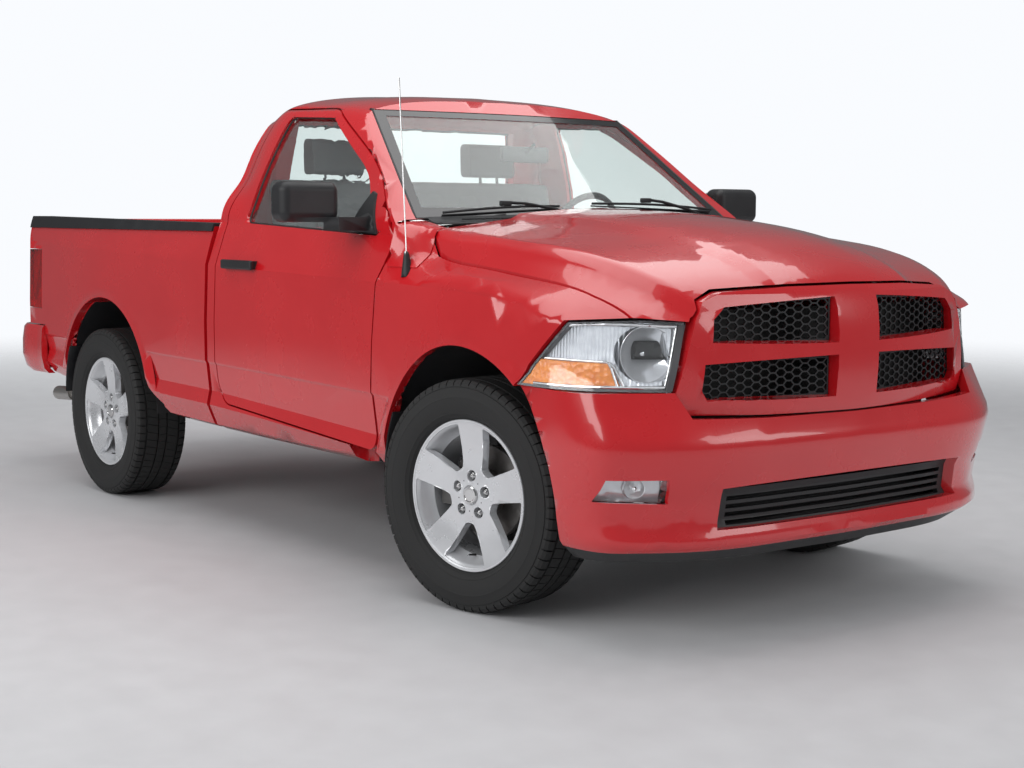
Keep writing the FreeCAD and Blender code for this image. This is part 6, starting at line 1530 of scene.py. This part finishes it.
@dataclass
class Seat:
    """The cloth bench: three cushions, three back pads, two headrests and the plinth.

    Attributes:
        voxel: size of the pads' faces.
        pressure: how firmly a pad is filled.
        cap: how far a point may move as the pad fills.
        frames: steps of the simulation.
        groove: depth and width of a sewn channel.
        outer: from where to where a side pad goes across the cab.
        middle: half the middle pad's width.
    """

    voxel: float = 0.009
    pressure: float = 4.0
    cap: float = 0.014
    frames: int = 20
    groove: tuple[float, float] = (0.008, 0.008)
    outer: tuple[float, float] = (0.152, 0.728)
    middle: float = 0.132

    CUSHION = [(-0.018, 0.808), (0.430, 0.808), (0.464, 0.850), (0.464, 0.925), (0.430, 0.968), (0.200, 0.955),
               (-0.018, 0.940)]
    BACK = [(-0.038, 0.990), (0.060, 0.990), (0.076, 1.060), (0.058, 1.200), (0.010, 1.440), (-0.022, 1.535),
            (-0.062, 1.545), (-0.104, 1.532)]
    REST = [(-0.112, 1.600), (-0.060, 1.594), (-0.046, 1.630), (-0.056, 1.690), (-0.078, 1.724),
            (-0.106, 1.728), (-0.121, 1.690), (-0.121, 1.630)]

    def filled(self, piece: Piece, seams: list[tuple[int, float]]) -> Piece:
        """Fill a pad by a cloth simulation with pressure, then sew its channels.

        Args:
            piece: the pad's slightly smaller form.
            seams: the axis (0, 1 or 2) and the place along it of each channel.

        Returns:
            The pad.
        """
        Bench.modified(piece, "REMESH", mode="VOXEL", voxel_size=self.voxel)
        before = [vertex.co.copy() for vertex in piece.data.vertices]
        bpy.ops.object.modifier_add(type="CLOTH")
        cloth = piece.modifiers[-1]
        cloth.settings.use_pressure = True
        cloth.settings.uniform_pressure_force = self.pressure
        cloth.settings.effector_weights.gravity = 0.0
        for frame in range(1, self.frames + 1):
            bpy.context.scene.frame_set(frame)
        bpy.ops.object.modifier_apply(modifier=cloth.name)
        bpy.context.scene.frame_set(1)
        for vertex, old in zip(piece.data.vertices, before):
            move = vertex.co - old
            if move.length > self.cap:
                vertex.co = old + move * (self.cap / move.length)
        self.sew(piece, seams)
        return Bench.smooth(piece, math.radians(60))

    def sew(self, piece: Piece, seams: list[tuple[int, float]]) -> None:
        """Draw the channels' faces inwards along their normals."""
        depth, width = self.groove
        for vertex, normal in zip(piece.data.vertices, [v.normal.copy() for v in piece.data.vertices]):
            for axis, place in seams:
                if abs(normal[axis]) < 0.6:
                    away = (vertex.co[axis] - place) / width
                    vertex.co -= normal * depth * math.exp(-away * away)

    def pad(self, name: str, outline: Outline, near: float, far: float,
            rounding: float, seams: list[tuple[int, float]]) -> Piece:
        """A pad with one side outline, from one place across the cab to another."""
        piece = Bench.prism(name, [(x, near, z) for x, z in outline], (0.0, far - near, 0.0), rounding)
        return self.filled(piece, seams)

    def plinth(self) -> Piece:
        """The plinth under the cushions and the rods of the headrests."""
        parts = [Bench.box("seat_plinth", (0.000, -0.690, 0.6553), (0.410, 0.690, 0.7947), 0.012)]
        for y in (-0.480, -0.380, 0.380, 0.480):
            parts.append(Bench.rod("headrest_rod", (-0.0745, y, 1.520), (-0.0845, y, 1.640), 0.0065))
        return Bench.joined(parts, "seat_plinth")

    def build(self) -> None:
        """Make the bench and put it in its node's place."""
        near, far = self.outer
        third = (far - near) / 4
        side_seams = [(1, near + third), (1, far - third)]
        pads = {
            "seat_cushion": self.pad("seat_cushion", self.CUSHION, near, far, 0.020,
                                     side_seams + [(0, 0.345), (2, 0.915)]),
            "seat_back": self.pad("seat_back", self.BACK, near, far, 0.018, side_seams + [(2, 1.425)]),
            "headrest": self.pad("headrest", self.REST, 0.315, 0.545, 0.022, [(1, 0.352), (1, 0.508)]),
        }
        for name, left in pads.items():
            for piece in Bench.pair(left, name, Palette.CLOTH, "seat_cloth"):
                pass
        for name, outline, seams in (("seat_cushion_middle", self.CUSHION, [(0, 0.345), (2, 0.915)]),
                                     ("seat_back_middle", self.BACK, [(2, 1.425), (2, 1.20)])):
            piece = self.pad(name, outline, -self.middle, self.middle, 0.018, seams)
            Bench.fit(piece, Palette.CLOTH, "seat_cloth")
        plinth = Bench.fit(self.plinth(), Palette.PLASTIC)
        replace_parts(plinth, "seat")


@dataclass
class CabParts:
    """Small parts of the cab and the doors that the solids leave out."""

    shield: Wipers = field(default_factory=Wipers)

    def mirror_glasses(self) -> None:
        """The glasses of the door mirrors."""
        left = Bench.box("mirror_glass", (0.7995, 1.032, 1.392), (0.8045, 1.242, 1.512), 0.0015)
        Bench.pair(left, "mirror_glass", Palette.REFLECTOR, "bright_steel",
                   ("door_left_body", "door_right_body"))

    def inner_mirror(self) -> None:
        """The mirror over the dashboard, on its stem on the windshield."""
        z = 1.700
        x = self.shield.shield_x(0.0, z) - 0.012
        stem = Bench.rod("stem", (x - 0.004, 0.0, z), (x - 0.062, 0.0, z - 0.035), 0.007)
        case = Bench.box("case", (x - 0.085, -0.125, z - 0.075), (x - 0.055, 0.125, z - 0.008), 0.012)
        Bench.fit(Bench.joined([case, stem], "inner_mirror"), Palette.PLASTIC)

    def gate_handle(self) -> None:
        """The black handle of the tailgate."""
        cup = Bench.box("gate_handle", (-2.4035, -0.125, 1.185), (-2.3920, 0.125, 1.262), 0.004)
        lever = Bench.box("gate_lever", (-2.4085, -0.095, 1.222), (-2.4020, 0.095, 1.250), 0.003)
        Bench.fit(Bench.joined([cup, lever], "gate_handle"), Palette.PLASTIC, "black_plastic", "tailgate_body")

    def build(self) -> None:
        """Make the small parts."""
        for step in (self.mirror_glasses, self.inner_mirror, self.gate_handle):
            step()


# ---------------------------------------------------------------- studio

@dataclass
class Studio:
    """Floor, light and the camera at the photograph's place.

    Attributes:
        camera_place: where the camera stands, in metres.
        heading: the camera's heading, in radians from +X.
        pitch: its pitch, in radians above the level.
        roll: its roll, in radians.
        lens: focal length in mm on a 36 mm wide sensor.
    """

    camera_place: Point = (6.3222, -4.3131, 1.3997)
    heading: float = 2.48906
    pitch: float = -0.102061
    roll: float = 0.004023
    lens: float = 57.524

    def build(self) -> None:
        """Make the camera, the floor, the lamps and the sky."""
        for step in (self.camera, self.floor, self.lamps, self.sky):
            step()
        bpy.context.scene.view_settings.view_transform = "Standard"

    def camera(self) -> None:
        """Stand the camera where the photograph was taken from."""
        Bench.clear()
        aim = Vector((math.cos(self.heading) * math.cos(self.pitch),
                      math.sin(self.heading) * math.cos(self.pitch), math.sin(self.pitch)))
        bpy.ops.object.camera_add(location=self.camera_place)
        camera = bpy.context.object
        camera.name = "photo_camera"
        camera.rotation_mode = "QUATERNION"
        turn = aim.to_track_quat("-Z", "Y")
        camera.rotation_quaternion = turn @ Matrix.Rotation(self.roll, 3, "Z").to_quaternion()
        camera.data.sensor_width = 36.0
        camera.data.lens = self.lens
        bpy.context.scene.camera = camera

    def floor(self) -> None:
        """Lay a plain pale floor."""
        Bench.clear()
        bpy.ops.mesh.primitive_plane_add(size=60.0, location=(0, 0, 0))
        floor = bpy.context.object
        floor.name = "floor"
        material = Finish("pale_floor", (0.60, 0.60, 0.61), (0.57, 0.57, 0.58), (0.55, 0.65),
                          relief_scale=60.0).material()
        self.fade(Tree(material.node_tree))
        floor.data.materials.append(material)

    @staticmethod
    def fade(tree: Tree) -> None:
        """Let the floor's material fade into the white behind it, away from the middle."""
        shader = next(n for n in tree.tree.nodes if n.type == "BSDF_PRINCIPLED")
        far = tree.add("VectorMath", {0: tree.place()}, operation="LENGTH").outputs["Value"]
        share = tree.ranged(far, (5.0, 13.0), (1.0, 0.0), interpolation_type="SMOOTHSTEP")
        tree.feed(shader, {"Alpha": share})

    def lamps(self) -> None:
        """Hang four soft lamps: overhead, at the near side, ahead, and behind, which isn't mirrored."""
        for name, place, aim, size, power in (
                ("lamp_above", (0.5, 0.0, 5.2), (0.0, 0.0, 0.0), (7.0, 4.0), 170.0),
                ("lamp_side", (1.0, -7.0, 3.6), (0.0, 0.0, 0.8), (7.0, 2.6), 200.0),
                ("lamp_front", (7.5, 2.5, 3.2), (1.0, 0.0, 0.8), (4.0, 2.6), 90.0),
                ("lamp_back", (-7.0, 3.0, 3.8), (-1.0, 0.0, 0.8), (4.0, 2.6), 90.0)):
            Bench.clear()
            bpy.ops.object.light_add(type="AREA", location=place)
            lamp = bpy.context.object
            lamp.name = name
            lamp.data.shape = "RECTANGLE"
            lamp.data.size, lamp.data.size_y = size
            lamp.data.energy = power
            lamp.visible_glossy = name != "lamp_back"
            lamp.rotation_mode = "QUATERNION"
            lamp.rotation_quaternion = (Vector(aim) - Vector(place)).to_track_quat("-Z", "Y")

    def sky(self) -> None:
        """A pale world: plain fill light, white where it is seen, darker where it is mirrored."""
        world = bpy.context.scene.world or bpy.data.worlds.new("world")
        bpy.context.scene.world = world
        world.use_nodes = True
        world.node_tree.nodes.clear()
        tree = Tree(world.node_tree)
        ray = tree.add("LightPath").outputs
        seen = tree.math("MAXIMUM", ray["Is Camera Ray"], ray["Is Transmission Ray"])
        fill = tree.ranged(ray["Is Glossy Ray"], end=(0.52, 0.17))
        back = tree.add("Background", {"Color": (0.95, 0.97, 1.0, 1.0),
                                       "Strength": tree.ranged(seen, end=(fill, 1.0))})
        tree.add("OutputWorld", {"Surface": back.outputs["Background"]})


def main() -> None:
    """Load the frame, dress every node, add the fitted pieces and set up the studio."""
    logging.basicConfig(level=logging.INFO, format="%(message)s")
    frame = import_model()
    CarriedNodes(frame, {"headlamps": Palette.SEAL}, ("tyre_", "wheel_")).dress()
    Wheels(frame).build()
    Trimmed().build()
    GlassEdges().build()
    Wipers().build()
    Lamps().build()
    Seat().build()
    CabParts().build()
    Studio().build()


if __name__ == "__main__":
    main()
